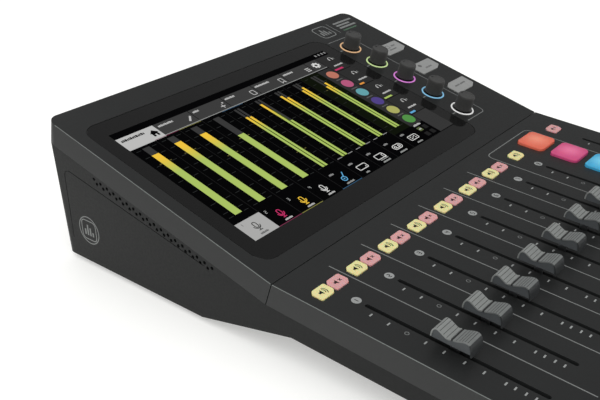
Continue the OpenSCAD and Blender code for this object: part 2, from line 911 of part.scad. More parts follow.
module power_inlet() {
    color([0.08, 0.08, 0.08]) out_back(power_x, rear_panel_y, data_z) {
        difference() {
            union() {
                plate(power_body[0], power_body[0], -power_body[1], -rear_panel_t);
                translate([0, 0, -rear_panel_t - eps])
                    cylinder(d = power_neck, h = rear_panel_t + over);
            }
            translate([0, 0, -power_bore[1]]) cylinder(d = power_bore[0], h = 2 * power_bore[1]);
        }
        translate([0, 0, -power_bore[1] - over]) cylinder(d = power_pin[0], h = power_pin[1]);
    }
}

// Rocker, with the pin it turns on, at rest with its top edge out
module power_switch() {
    color([0.06, 0.06, 0.06]) translate([switch_x, rear_panel_y - rocker_pin, switch_z])
        rotate([-rocker_tilt, 0, 0]) {
            block(-rocker_w / 2, rocker_w / 2, 0, rocker_pin + over, -rocker_half, rocker_half);
            translate([-rocker_w / 2, 0, 0])
                rotate([0, 90, 0]) cylinder(d = pin_dia, h = rocker_w);
        }
}

module switch_housing() {
    color([0.06, 0.06, 0.06]) out_back(switch_x, rear_panel_y, switch_z) difference() {
        union() {
            plate(switch_flange[0], switch_flange[1], 0, switch_flange[2]);
            plate(switch_body[0], switch_body[1], -switch_body[2], eps);
        }
        plate(rocker_w + 4 * gap, 2 * rocker_half + 2, -switch_body[2] + 2, 2);
    }
}

// ---- Fasteners and feet ----

module case_screws() {
    color([0.1, 0.1, 0.1])
        for (s = [-1, 1], y = screw_y)
            translate([s * screw_x, y, foot_h]) {
                translate([0, 0, -screw_head[1]]) difference() {
                    cylinder(d = screw_head[0], h = screw_head[1]);
                    translate([0, 0, -over]) cylinder(d = hex_key, h = over + hex_deep, $fn = 6);
                }
                translate([0, 0, -eps]) cylinder(d = screw_dia, h = screw_len);
            }
}

module feet() {
    color([0.05, 0.05, 0.05])
        for (p = foot_places) translate([p[0], p[1], 0]) {
            cylinder(d = foot_sole, h = 1 + eps);
            translate([0, 0, 1]) cylinder(d = foot_dia, h = foot_h - 1);
        }
}

lower_deck_panel();
upper_deck_panel();
left_side_cheek();
right_side_cheek();
bottom_pan();
rear_panel();
display_glass();
display_panel();
main_board();
fader_board();
encoder_board();
fader_bodies();
knob_light_rings();
mic_sockets();
jack_sockets();
data_sockets();
power_inlet();
power_switch();
switch_housing();
case_screws();
feet();
fader(main_col);  // main_fader
mute_key(main_col + 1);  // main_mute_key
for (i = [1:channels]) fader(i - 1);
for (i = [1:channels]) solo_key(i);
for (i = [1:channels - 1]) mute_key(i);
for (i = [1:pads]) pad(i);
for (i = [1:3]) function_button(i);
for (i = [1:knobs]) knob(i);
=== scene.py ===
"""Looks for a compact digital mixing console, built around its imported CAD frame.

Lengths are in millimetres on a deck's own plane, and become metres when a mesh is made.
"""

import math

import bpy
from mathutils import Matrix, Vector


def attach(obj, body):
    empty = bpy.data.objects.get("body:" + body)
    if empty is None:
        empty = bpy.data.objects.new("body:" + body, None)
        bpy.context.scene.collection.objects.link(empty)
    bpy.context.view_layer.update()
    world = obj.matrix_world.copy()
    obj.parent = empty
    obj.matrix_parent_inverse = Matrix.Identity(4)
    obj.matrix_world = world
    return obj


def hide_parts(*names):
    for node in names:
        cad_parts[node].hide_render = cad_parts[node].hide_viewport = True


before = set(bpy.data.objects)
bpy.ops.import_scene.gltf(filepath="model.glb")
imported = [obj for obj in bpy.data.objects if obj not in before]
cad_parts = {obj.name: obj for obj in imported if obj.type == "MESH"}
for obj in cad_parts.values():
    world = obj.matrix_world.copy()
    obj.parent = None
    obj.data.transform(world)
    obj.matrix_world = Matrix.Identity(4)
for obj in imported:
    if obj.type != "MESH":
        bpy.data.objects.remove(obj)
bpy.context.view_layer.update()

MM = 0.001
# Slope in degrees and length of each deck, half the width of their flat tops, and the crease
LOWER_SLOPE, UPPER_SLOPE = 4.1, 14.9
LOWER_LEN, UPPER_LEN = 185.0, 197.3
HALF_TOP = 161.2
CREASE_Z = 47.5
CREASE_Y = (LOWER_LEN * math.cos(math.radians(LOWER_SLOPE))
            - UPPER_LEN * math.cos(math.radians(UPPER_SLOPE))) / 2
# Columns of controls, from 0 at the left
PITCH = 31.36
PAD_COLUMN, MAIN_COLUMN = 8, 9
# Origin at the left edge of a deck's flat top, beside the crease
LEFT_EDGE = (-HALF_TOP, 0)


def deck_frame(slope):
    """A deck's own frame, at the middle of the crease: Y runs up the deck."""
    return (Matrix.Translation((0, CREASE_Y * MM, CREASE_Z * MM))
            @ Matrix.Rotation(math.radians(slope), 4, "X"))


def at(base, x, y):
    """A frame on base, moved by millimetres along its own X and Y."""
    return base @ Matrix.Translation((x * MM, y * MM, 0))


LOWER, UPPER = deck_frame(LOWER_SLOPE), deck_frame(UPPER_SLOPE)


def col(i):
    """X of a column of controls: 0 to 7 channels, 8 pads and knobs, 9 main fader."""
    return (i - MAIN_COLUMN / 2) * PITCH

# ---- Mesh building ----

def circle(r, n=32, x=0.0, y=0.0, start=0.0, sweep=360.0):
    """Points round a circle, or along an arc of it, ends included."""
    last = n if sweep >= 360 else n - 1
    return [(x + r * math.cos(math.radians(start + sweep * k / last)),
             y + r * math.sin(math.radians(start + sweep * k / last))) for k in range(n)]


def rounded(w, d, r, n=6, x=0.0, y=0.0):
    """Rectangle with rounded corners, anticlockwise from the right side."""
    pts = []
    for cx, cy, a in ((1, -1, -90), (1, 1, 0), (-1, 1, 90), (-1, -1, 180)):
        pts += circle(r, n, x + cx * (w / 2 - r), y + cy * (d / 2 - r), a, 90)
    return pts


def rect(x0, x1, y0, y1):
    return [(x0, y0), (x1, y0), (x1, y1), (x0, y1)]


def cut_rect(w, d, cx, cy, nib=0.8):
    """Rectangle with its back left and front right corners cut, and small cuts at the others."""
    x, y = w / 2, d / 2
    front = [(-x, nib - y), (nib - x, -y), (x - cx, -y), (x, cy - y)]
    return front + [(-u, -v) for u, v in front]


def soften(pts, r, n=4):
    """Rounds each corner of an outline."""
    out = []
    for k, p in enumerate(pts):
        a, b = Vector(pts[k - 1]), Vector(pts[(k + 1) % len(pts)])
        p = Vector(p)
        u, v = (a - p), (b - p)
        s = min(r, u.length / 2.2, v.length / 2.2)
        start, end = p + u.normalized() * s, p + v.normalized() * s
        for i in range(n + 1):
            t = i / n
            q = (1 - t) ** 2 * start + 2 * t * (1 - t) * p + t * t * end
            out.append((q.x, q.y))
    return out


def mitre(a, b, limit):
    """Offset to the left of a corner between directions a and b, for a distance of 1."""
    na = Vector((-a.y, a.x)).normalized()
    nb = Vector((-b.y, b.x)).normalized()
    return (na + nb) / max(limit, 1 + na.dot(nb))


def inset(pts, d):
    """Moves an anticlockwise outline inwards by d."""
    out = []
    for k, p in enumerate(pts):
        p = Vector(p)
        q = p + mitre(p - Vector(pts[k - 1]), Vector(pts[(k + 1) % len(pts)]) - p, 0.35) * d
        out.append((q.x, q.y))
    return out


# Print reaches from a little under a surface to a little over it
INK = (-0.05, 0.04)


class Shape:
    """Faces gathered in millimetres, each with a material number and a colour.

    Lines, bars and spots are flat marks between the two heights in flat. Everything is
    placed from the origin.
    """

    def __init__(self, mat=0, flat=INK, origin=(0, 0)):
        self.verts, self.faces, self.mats, self.tints = [], [], [], []
        self.mat, self.flat, self.origin, self.tint = mat, flat, origin, (1.0, 1.0, 1.0)

    def add(self, verts, faces):
        base = len(self.verts)
        x0, y0 = self.origin
        self.verts += [(x + x0, y + y0, z) for x, y, z in verts]
        for f in faces:
            self.faces.append([base + i for i in f])
            self.mats.append(self.mat)
            self.tints.append(self.tint)

    def loft(self, loops, close=False):
        """Skins closed loops of the same length. Both ends are capped, or joined if close."""
        n, m = len(loops[0]), len(loops)
        verts = [p for loop in loops for p in loop]
        faces = []
        for k in range(m if close else m - 1):
            a, b = k * n, (k + 1) % m * n
            faces += [[a + i, a + (i + 1) % n, b + (i + 1) % n, b + i] for i in range(n)]
        if not close:
            faces += [list(range(n))[::-1], [(m - 1) * n + i for i in range(n)]]
        self.add(verts, faces)

    def prism(self, pts, z0, z1):
        self.loft([[(x, y, z0) for x, y in pts], [(x, y, z1) for x, y in pts]])

    def cap(self, pts, z0, z1, r, steps=4, crown=0.0, rings=4):
        """Prism with a rounded top edge, and a top that rises by crown in the middle."""
        loops = [[(x, y, z0) for x, y in pts]]
        for k in range(steps + 1):
            a = math.pi / 2 * k / steps
            ring = inset(pts, r * (1 - math.cos(a)))
            loops.append([(x, y, z1 - crown - r + r * math.sin(a)) for x, y in ring])
        if crown:
            edge = inset(pts, r)
            cx = sum(p[0] for p in edge) / len(edge)
            cy = sum(p[1] for p in edge) / len(edge)
            for k in range(1, rings + 1):
                s = 1 - k / (rings + 0.35)
                z = z1 - crown * s ** 2.2
                loops.append([(cx + (x - cx) * s, cy + (y - cy) * s, z) for x, y in edge])
        self.loft(loops)

    def tube(self, outer, inner, z0, z1):
        """Prism with a hole: both outlines have the same number of points."""
        self.loft([[(x, y, z0) for x, y in outer], [(x, y, z1) for x, y in outer],
                   [(x, y, z1) for x, y in inner], [(x, y, z0) for x, y in inner]], close=True)

    def lathe(self, profile, n=48, x=0.0, y=0.0, close=False):
        """Turns (radius, z) points round a Z axis."""
        self.loft([[(px, py, z) for px, py in circle(r, n, x, y)] for r, z in profile], close)

    def stroke(self, pts, w, z0, z1, closed=False):
        """A line of width w through points, with mitred corners."""
        left, right = [], []
        n = len(pts)
        for k in range(n):
            p = Vector(pts[k])
            a = p - Vector(pts[k - 1]) if k or closed else None
            b = Vector(pts[(k + 1) % n]) - p if k < n - 1 or closed else None
            a, b = a or b, b or a
            m = mitre(a, b, 0.4) * (w / 2)
            left.append(p + m)
            right.append(p - m)
        loops = [[(r.x, r.y, z0), (r.x, r.y, z1), (v.x, v.y, z1), (v.x, v.y, z0)]
                 for v, r in zip(left, right)]
        self.loft(loops, close=closed)

    def box(self, x0, x1, y0, y1, z0, z1):
        self.prism(rect(x0, x1, y0, y1), z0, z1)

    def line(self, pts, w, closed=False):
        self.stroke(pts, w, *self.flat, closed)

    def loop(self, pts, w):
        self.line(pts, w, True)

    def bar(self, x0, x1, y0, y1):
        self.box(x0, x1, y0, y1, *self.flat)

    def spot(self, pts):
        self.prism(pts, *self.flat)


def linear(c):
    """sRGB 0 to 255 as linear."""
    return tuple((v / 255 / 12.92) if v <= 10 else ((v / 255 + 0.055) / 1.055) ** 2.4 for v in c)


def mesh_object(name, shape, mats):
    """The mesh of a shape in metres, as an object in the scene."""
    mesh = bpy.data.meshes.new(name)
    mesh.from_pydata([(x * MM, y * MM, z * MM) for x, y, z in shape.verts], [], shape.faces)
    mesh.polygons.foreach_set("material_index", shape.mats)
    for m in mats:
        mesh.materials.append(m)
    obj = bpy.data.objects.new(name, mesh)
    bpy.context.scene.collection.objects.link(obj)
    return obj


def make(name, shape, base, mats, body, replaces=(), smooth=0, tinted=False):
    """A piece that rides on a body, in the axes of base. smooth is the sharpest soft angle."""
    obj = mesh_object(name, shape, mats)
    mesh = obj.data
    if tinted:
        attribute = mesh.color_attributes.new("tint", "FLOAT_COLOR", "CORNER")
        for poly, tint in zip(mesh.polygons, shape.tints):
            for k in poly.loop_indices:
                attribute.data[k].color = (*tint, 1.0)
    mesh.validate()
    mesh.update()
    if smooth:
        mesh.shade_smooth()
        mesh.set_sharp_from_angle(angle=math.radians(smooth))
    obj.matrix_world = base
    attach(obj, body)
    if replaces:
        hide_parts(*replaces)
    return obj


def round_edges(obj, width, segments, material):
    """Rounds an object's sharp edges, and keeps its flat faces flat."""
    bevel = obj.modifiers.new("edges", "BEVEL")
    bevel.width = width * MM
    bevel.segments = segments
    bevel.limit_method = "ANGLE"
    bevel.angle_limit = math.radians(35)
    bevel.use_clamp_overlap = True
    bevel.harden_normals = True
    bevel.material = material

# ---- Materials ----

def set_inputs(node, **values):
    """Sets a node's inputs by their names, with _ for a space."""
    for key, value in values.items():
        node.inputs[key.replace("_", " ")].default_value = value


def add_node(tree, kind, **values):
    node = tree.nodes.new("ShaderNode" + kind)
    set_inputs(node, **values)
    return node


def material(name, color, rough, grain=0.3, bump=0.2, depth=0.02, vary=0.05, blotch=25.0,
             rough_vary=0.06, tint=None, emission=None, **sockets):
    """A surface with fine grain, slow changes of tone and uneven gloss. Lengths are in mm."""
    mat = bpy.data.materials.new(name)
    mat.use_nodes = True
    tree = mat.node_tree
    shader = tree.nodes["Principled BSDF"]
    link = tree.links.new
    coords = add_node(tree, "TexCoord").outputs["Object"]

    def noise(size, detail=2.0):
        node = add_node(tree, "TexNoise", Scale=1 / (size * MM), Detail=detail)
        link(coords, node.inputs["Vector"])
        return node.outputs["Fac"]

    def spread(value, low, high):
        """Maps the middle of a noise's values to the range from low to high."""
        node = add_node(tree, "MapRange", From_Min=0.3, From_Max=0.7, To_Min=low, To_Max=high)
        link(value, node.inputs["Value"])
        return node.outputs["Result"]

    def mix(a, b, factor):
        node = add_node(tree, "Mix")
        node.data_type = "RGBA"
        tints = [socket for socket in node.inputs if socket.type == "RGBA"]
        for target, value in zip(tints, (a, b)):
            if isinstance(value, tuple):
                target.default_value = (*value, 1.0)
            else:
                link(value, target)
        link(factor, node.inputs[0])
        return [socket for socket in node.outputs if socket.type == "RGBA"][0]

    base = linear(color)
    slow = noise(blotch, 3.0)
    fine = noise(grain)
    dark = tuple(v * (1 - vary) for v in base)
    light = tuple(min(1.0, v * (1 + vary)) for v in base)
    tone = mix(dark, light, spread(slow, 0.0, 1.0))
    speck = tuple(min(1.0, v * (1 + 2.5 * vary) + 0.001) for v in base)
    tone = mix(tone, speck, spread(fine, 0.0, 0.35))
    if tint:
        tone = tint(tree, tone, mix, coords)
    link(tone, shader.inputs["Base Color"])
    gloss = spread(noise(grain * 9), rough - rough_vary, rough + rough_vary)
    link(gloss, shader.inputs["Roughness"])
    bumped = add_node(tree, "Bump", Strength=bump, Distance=depth * MM)
    link(fine, bumped.inputs["Height"])
    link(bumped.outputs["Normal"], shader.inputs["Normal"])
    if emission:
        set_inputs(shader, Emission_Color=(*linear(emission[0]), 1.0),
                   Emission_Strength=emission[1])
    set_inputs(shader, **sockets)
    return mat


deck_skin = material("deck_skin", (35, 36, 36), 0.36, grain=0.16, depth=0.012,
                     vary=0.04, Specular_IOR_Level=0.4)
# deck_edge_wear_and_highlight: lighter, glossier paint on the decks' rounded edges, partly edge
# wear and partly a painted highlight
deck_edge_wear_and_highlight = material("deck_edge_wear_and_highlight", (67, 70, 69), 0.38, bump=0.15, vary=0.1)
# arris_highlight_skin: painted highlight, pale paint on the thin bead along the decks' side
# edges
arris_highlight_skin = material("arris_highlight_skin", (104, 108, 106), 0.4, bump=0.15, vary=0.12,
                      blotch=40.0)
cheek_skin = material("cheek_skin", (23, 24, 24), 0.5, grain=0.16, depth=0.012,
                      vary=0.04, Specular_IOR_Level=0.18)
pan_coat = material("pan_coat", (30, 31, 32), 0.6, grain=0.6, bump=0.5, depth=0.05, vary=0.1)
glass_black = material("glass_black", (15, 15, 15), 0.06, grain=2.0, bump=0.02, depth=0.002,
                       rough_vary=0.02, vary=0.02, blotch=60.0)
steel_sheet = material("steel_sheet", (165, 167, 170), 0.35, grain=0.8, bump=0.1,
                       rough_vary=0.1, Metallic=1.0)
nickel = material("nickel", (190, 188, 182), 0.25, grain=0.5, bump=0.08, rough_vary=0.08,
                  Metallic=1.0)
gold = material("gold", (212, 170, 90), 0.28, grain=0.4, bump=0.05, Metallic=1.0)
board_green = material("board_green", (18, 72, 44), 0.4, grain=1.5, vary=0.15,
                       blotch=6.0)
socket_black = material("socket_black", (22, 22, 23), 0.38, vary=0.08)
screw_black = material("screw_black", (26, 26, 27), 0.4, bump=0.15, vary=0.15,
                       Metallic=0.6)
foot_rubber = material("foot_rubber", (21, 21, 21), 0.85, grain=0.5, bump=0.5, depth=0.05)
knob_rubber = material("knob_rubber", (50, 50, 49), 0.62, grain=0.18, bump=0.35, depth=0.02,
                       vary=0.07, blotch=6.0, Sheen_Weight=0.1)


def cap_paint(name, color, rough=0.42):
    """Satin metallic paint of the fader caps' ribbed sheets."""
    return material(name, color, rough, grain=0.14, bump=0.3, vary=0.06, blotch=5.0,
                    Metallic=0.25)


def worn_ink(name, color):
    """Pale print that is uneven from wear."""
    return material(name, color, 0.6, grain=0.15, bump=0.3, vary=0.08)


def fresh_ink(name, color):
    return material(name, color, 0.6, grain=0.15)


def key_plastic(name, color):
    """Translucent plastic of the small keys, which lets light in a little."""
    return material(name, color, 0.5, grain=0.2, vary=0.03, blotch=4.0,
                    Subsurface_Weight=0.25, Subsurface_Scale=0.002)


cap_top_skin = cap_paint("cap_top_skin", (136, 139, 137))
# Darker copies of the sheets' paint: painted shade on the front hump (cap_front_shaded_skin) and
# on its steep front end (cap_end_shade_and_latch_skin); the second is also the mic latches' own
# dark grey
cap_front_shaded_skin = cap_paint("cap_front_shaded_skin", (116, 119, 118))
cap_end_shade_and_latch_skin = cap_paint("cap_end_shade_and_latch_skin", (54, 56, 57), 0.4)
cap_side_skin = material("cap_side_skin", (74, 77, 79), 0.42, grain=0.2, vary=0.06)
# dark_shade_and_marks: painted shade in the caps' notch and under their sheets' edges; also the
# caps' dark rib lines and the knobs' pointer marks
dark_shade_and_marks = material("dark_shade_and_marks", (40, 41, 41), 0.6, grain=0.2)
ink_pale = worn_ink("ink_pale", (136, 138, 137))
ink_dim = worn_ink("ink_dim", (112, 114, 113))
ink_line = worn_ink("ink_line", (108, 110, 109))
ink_dark = fresh_ink("ink_dark", (18, 15, 12))
ink_button = fresh_ink("ink_button", (92, 92, 92))
ink_red = fresh_ink("ink_red", (52, 16, 18))
ink_green = fresh_ink("ink_green", (66, 96, 74))
key_yellow = key_plastic("key_yellow", (210, 202, 142))
key_pink = key_plastic("key_pink", (196, 144, 144))
button_grey = material("button_grey", (136, 137, 136), 0.48, grain=0.2, vary=0.04,
                       blotch=6.0)


def screen_material():
    """Picture behind polished glass: the light comes from each face's own colour."""
    mat = material("screen_light", (2, 2, 2), 0.1, grain=2.0, bump=0.02, depth=0.002,
                   rough_vary=0.02, Specular_IOR_Level=0.0)
    tree = mat.node_tree
    shader = tree.nodes["Principled BSDF"]
    tint = add_node(tree, "Attribute")
    tint.attribute_name = "tint"
    tree.links.new(tint.outputs["Color"], shader.inputs["Emission Color"])
    set_inputs(shader, Emission_Strength=1.0)
    return mat


screen_light = screen_material()

# ---- CAD nodes that stay, with their finish ----

def dress(node, mats, bevel, segments=2, edge=-1):
    """Gives a CAD node its materials and rounds its edges, in material edge if not -1."""
    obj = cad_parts[node]
    obj.data.materials.clear()
    for m in mats:
        obj.data.materials.append(m)
    weld = obj.modifiers.new("weld", "WELD")
    weld.merge_threshold = 2e-6
    flat = obj.modifiers.new("flat", "DECIMATE")
    flat.decimate_type = "DISSOLVE"
    flat.angle_limit = math.radians(0.5)
    round_edges(obj, bevel, segments, edge)


# Edge widths of the nodes of each finish
FINISHES = (
    (cheek_skin, "cheek_shell", {"left_side_cheek": 0.25, "right_side_cheek": 0.25}),
    (pan_coat, "pan_steel", {"bottom_pan": 0.3, "rear_panel": 0.25}),
    (steel_sheet, "module_steel",
     {"display_panel": 0.5, "fader_bodies": 0.2, "data_sockets": 0.1}),
    (board_green, "board_green",
     {"main_board": 0.15, "fader_board": 0.15, "encoder_board": 0.15}),
    (socket_black, "socket_black",
     {"mic_sockets": 0.3, "jack_sockets": 0.25, "power_inlet": 0.25, "switch_housing": 0.3,
      "power_switch": 0.5}),
    (screw_black, "screw_black", {"case_screws": 0.25}),
    (foot_rubber, "foot_rubber", {"feet": 0.8}))
for skin, slot, widths in FINISHES:
    for name, width in widths.items():
        dress(name, [skin], width)
# The decks' rounded edges take deck_edge_wear_and_highlight, a painted highlight with some edge
# wear
for name in ("lower_deck_panel", "upper_deck_panel"):
    dress(name, [deck_skin, deck_edge_wear_and_highlight], 0.45, 3, 1)
dress("display_glass", [glass_black], 0.25, 3)

# ---- Fader caps ----

# Width of a cap, height of its underside, and half the depth of its core's foot
CAP_W, CAP_GAP, CORE_HALF = 11.5, 5.8, 11.3
# Middle of the slots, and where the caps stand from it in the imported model
SLOT_MID, CAP_REST = -102.3, -1.5
SHEET = 0.8
LEVER_T, LEVER_D, SLIDER_W, SLIDER_D, SLIDER_BASE = 1.2, 5, 5.6, 10, -8.9
CAP_SKINS = [cap_top_skin, cap_side_skin, dark_shade_and_marks, steel_sheet, cap_end_shade_and_latch_skin, cap_front_shaded_skin]
REAR_SHEET, CORE, SHADE_AND_LINES, LEVER, END_SHEET, FRONT_SHEET = range(len(CAP_SKINS))
# Places of the dark lines between the ribs
REAR_LINES, FRONT_LINES = (8.9, 6.9, 4.9, 3), (-2.6, -4.1, -5.6, -7.1, -8.6)


def smooth_path(points, steps=5):
    """A smooth curve through points, as a denser list of points."""
    out = []
    n = len(points)
    for k in range(n - 1):
        p = [Vector(points[min(max(k + d, 0), n - 1)]) for d in (-1, 0, 1, 2)]
        for s in range(steps):
            t = s / steps
            q = 0.5 * (2 * p[1] + (p[2] - p[0]) * t
                       + (2 * p[0] - 5 * p[1] + 4 * p[2] - p[3]) * t ** 2
                       + (-p[0] + 3 * p[1] - 3 * p[2] + p[3]) * t ** 3)
            out.append((q.x, q.y))
    out.append(tuple(points[-1]))
    return out


# The sheets' side view, as (Y, Z) points that run to the front, so -Y
REAR_HUMP = [(11.9, 6.2), (11.6, 9.2), (10.6, 11.2), (9.2, 12.1), (7.4, 11.8), (4.8, 10.4),
             (2.4, 9.35), (0.7, 9.9)]
FRONT_HUMP = [(-0.7, 9.9), (-2.4, 10.4), (-4.6, 11.3), (-7, 12.1), (-8.8, 12.1),
              (-10.3, 11.1), (-11.2, 9.2), (-11.7, 7), (-11.95, 4.6)]


def sheet_along(shape, path, width, t):
    """A bent sheet of thickness t under a path in the cap's side view."""
    half = width / 2
    loops = []
    for k, p in enumerate(path):
        a = Vector(path[max(k - 1, 0)])
        b = Vector(path[min(k + 1, len(path) - 1)])
        d = (b - a).normalized()
        q = Vector(p) - Vector((d.y, -d.x)) * t
        loops.append([(-half, p[0], p[1]), (half, p[0], p[1]),
                      (half, q.x, q.y), (-half, q.x, q.y)])
    shape.loft(loops)


def cap_core(shape, rear, front):
    """Core with smooth sides, a little narrower and shorter than the sheets on it."""
    def under(path):
        return [(y * 0.965, z - SHEET * 0.9) for y, z in path if z > 7]

    shape.mat = CORE
    side = ([(CORE_HALF, CAP_GAP)] + under(rear) + [(0, 8.6)] + under(front)
            + [(-CORE_HALF, CAP_GAP)])
    half = CAP_W / 2 - 0.35
    shape.loft([[(x, y, z) for y, z in side] for x in (-half, half)])


def rib_line(shape, path, mark):
    """Dark line across a sheet, at its point that is nearest to mark."""
    near = min(range(1, len(path) - 1), key=lambda k: abs(path[k][0] - mark))
    d = (Vector(path[near + 1]) - Vector(path[near - 1])).normalized()
    n = Vector((d.y, -d.x))
    c = Vector(path[near])
    w, up, down = 0.13, 0.03, 0.25
    corners = [c + d * u + n * v for u, v in ((-w, -down), (w, -down), (w, up), (-w, up))]
    half = CAP_W / 2 - 0.25
    shape.loft([[(x, q.x, q.y) for q in corners] for x in (-half, half)])


def fader_cap():
    """Cap with two humps under ribbed sheets, on the lever that goes into its slot."""
    shape = Shape()
    rear, front = smooth_path(REAR_HUMP), smooth_path(FRONT_HUMP)
    cap_core(shape, rear, front)
    shape.mat = REAR_SHEET
    sheet_along(shape, rear, CAP_W, SHEET)
    bend = min(k for k, p in enumerate(front) if p[0] < -9.8)
    # The front hump's sheet is painted darker, and its end darker still: painted shade
    shape.mat = FRONT_SHEET
    sheet_along(shape, front[:bend + 1], CAP_W, SHEET)
    shape.mat = END_SHEET
    sheet_along(shape, front[bend:], CAP_W, SHEET)
    # Painted shade: a dark box in the notch between the humps, and a dark layer under each
    # sheet's edge for the shadow line between the sheets and the core
    shape.mat = SHADE_AND_LINES
    notch = CAP_W / 2 - 0.5
    shape.box(-notch, notch, -0.75, 0.75, 8.2, 9.5)
    for path in (rear, front):
        low = [(y * 0.975, z - SHEET) for y, z in path if z > 6.6]
        sheet_along(shape, low, CAP_W - 0.5, 0.3)
    for path, marks in ((rear, REAR_LINES), (front, FRONT_LINES)):
        for mark in marks:
            rib_line(shape, path, mark)
    shape.mat = LEVER
    shape.box(-LEVER_T / 2, LEVER_T / 2, -LEVER_D / 2, LEVER_D / 2, SLIDER_BASE + 3,
              CAP_GAP + 0.3)
    shape.box(-SLIDER_W / 2, SLIDER_W / 2, -SLIDER_D / 2, SLIDER_D / 2, SLIDER_BASE,
              SLIDER_BASE + 4)
    return shape


for i in range(MAIN_COLUMN + 1):
    if i != PAD_COLUMN:
        body = "main_fader" if i == MAIN_COLUMN else f"fader_{i + 1}"
        make(f"{body}_cap", fader_cap(), at(LOWER, col(i), SLOT_MID + CAP_REST), CAP_SKINS,
             body, [body], smooth=40)

# ---- Plain marks in place of words, names and badges ----

SEGMENTS = {1: "bc", 2: "abged", 3: "abgcd", 4: "fgbc", 5: "afgcd", 6: "afgedc", 7: "abc",
            8: "abcdefg"}
BARS = {"a": ((0, 1), (1, 1)), "b": ((1, 1), (1, 0.5)), "c": ((1, 0.5), (1, 0)),
        "d": ((0, 0), (1, 0)), "e": ((0, 0), (0, 0.5)), "f": ((0, 0.5), (0, 1)),
        "g": ((0, 0.5), (1, 0.5))}


def digit(shape, n, x, y, h):
    """A plain figure of height h, centred on x, y."""
    w = h * 0.5
    shift = -w if n == 1 else -w / 2
    for s in SEGMENTS[n]:
        (u0, v0), (u1, v1) = BARS[s]
        shape.line([(x + shift + w * u0, y - h / 2 + h * v0),
                    (x + shift + w * u1, y - h / 2 + h * v1)], h * 0.16)


def blocks(shape, x, y, w, h):
    """A row of small plain blocks, from x, in place of a word."""
    widths = (1, 0.7, 1.2, 0.8, 0.6, 1.1)
    k, left = 0, x
    while left < x + w - 0.2:
        step = widths[k % len(widths)] * h * 0.55
        rise = h / 2 * (1 if k % 3 else 0.6)
        shape.bar(left, min(left + step, x + w), y - h / 2, y + rise)
        left += step + h * 0.16
        k += 1


def emblem(shape, x, y, size):
    """Plain badge: a rounded square with four level bars."""
    shape.loop(rounded(size, size, size * 0.22, 5, x, y), size * 0.05)
    low = y - size * 0.28
    for k, tall in enumerate((0.30, 0.55, 0.42, 0.22)):
        u = x + size * (-0.27 + 0.18 * k)
        shape.bar(u - size * 0.05, u + size * 0.05, low, low + size * tall)


def speaker(shape, x, s):
    """Small loudspeaker that faces right."""
    pts = [(-1, -0.35), (-0.45, -0.35), (0.15, -0.95), (0.15, 0.95), (-0.45, 0.35),
           (-1, 0.35)]
    shape.spot([(x + s * u, s * v) for u, v in pts])

# ---- Keys, pads and buttons: caps in wells, with a flange under the deck and a stem ----

KEY_W, KEY_D, KEY_ROW, KEY_OUT, KEY_CUT = 12.6, 9.7, -25.3, 0.7, 2.4
# A solo key and its mute key stand this far to each side of their column
PAIR_DX = 6.6
PAD_W, PAD_D, PAD_R, PAD_OUT, PAD_ROW, PAD_PITCH = 24.6, 21, 4, 3, -26, 26.3
PADS = (("orange", (200, 94, 72), (222, 136, 112)), ("pink", (184, 64, 112), (216, 110, 148)),
        ("blue", (52, 150, 190), (120, 200, 226)), ("purple", (112, 70, 170), (165, 125, 215)),
        ("yellow", (204, 182, 66), (236, 222, 130)), ("green", (80, 166, 74), (140, 212, 120)))
BUTTON_W, BUTTON_D, BUTTON_SHIFT, BUTTON_CUT = 27.8, 14.6, 1.4, (6, 3)
BUTTON_ROWS = (131, 95.4, 60.6)
WALL_GAP = 2.8
STEM_Z, BUTTON_STEM_Z = -13, -8.9
MARK_FLAT = (KEY_OUT - 0.03, KEY_OUT + 0.02)


def cut_cap(shape, w, d, cut, corner):
    """Cap of a key or button, with two corners cut."""
    outline = soften(cut_rect(w - 0.04, d - 0.04, *cut), corner)
    shape.cap(outline, -WALL_GAP - 0.1, KEY_OUT, 0.3, 4, crown=0.06)


def flange_and_stem(shape, w, d, side, end, thick, stem_z):
    """Flange that is side and end larger than its cap, and the stem that it presses with."""
    x, y = w / 2 + side, d / 2 + end
    shape.box(-x, x, -y, y, -WALL_GAP - thick, -WALL_GAP - 0.05)
    shape.box(-w / 4, w / 4, -d / 4, d / 4, stem_z, -WALL_GAP - thick + 0.1)


def key_shape(mute):
    """Key with a loudspeaker, and a cross on it or waves beside it."""
    shape = Shape(flat=MARK_FLAT)
    cut_cap(shape, KEY_W, KEY_D, (KEY_CUT, KEY_CUT), 0.7)
    flange_and_stem(shape, KEY_W, KEY_D, -0.5, 1.2, 1.2, STEM_Z)
    shape.mat = 1
    speaker(shape, -0.9, 2.2)
    if mute:
        for s in (-1, 1):
            shape.line([(1, -0.95 * s), (2.9, 0.95 * s)], 0.5)
    else:
        for r in (2.2, 3.5):
            shape.line(circle(r, 10, -0.9, 0, -50, 100), 0.5)
    return shape


def key(name, x, mute):
    mats = [key_pink, ink_red] if mute else [key_yellow, ink_dark]
    make(f"{name}_cap", key_shape(mute), at(LOWER, x, KEY_ROW), mats, name,
         [name], smooth=35)


def glow(inner, reach):
    """Painted glow: tone that turns towards inner near the piece's own middle."""
    def tint(tree, tone, mix, coords):
        length = add_node(tree, "VectorMath")
        length.operation = "LENGTH"
        tree.links.new(coords, length.inputs[0])
        fall = add_node(tree, "MapRange", From_Max=reach * MM, To_Min=1, To_Max=0)
        fall.interpolation_type = "SMOOTHSTEP"
        tree.links.new(length.outputs["Value"], fall.inputs["Value"])
        return mix(tone, linear(inner), fall.outputs["Result"])
    return tint


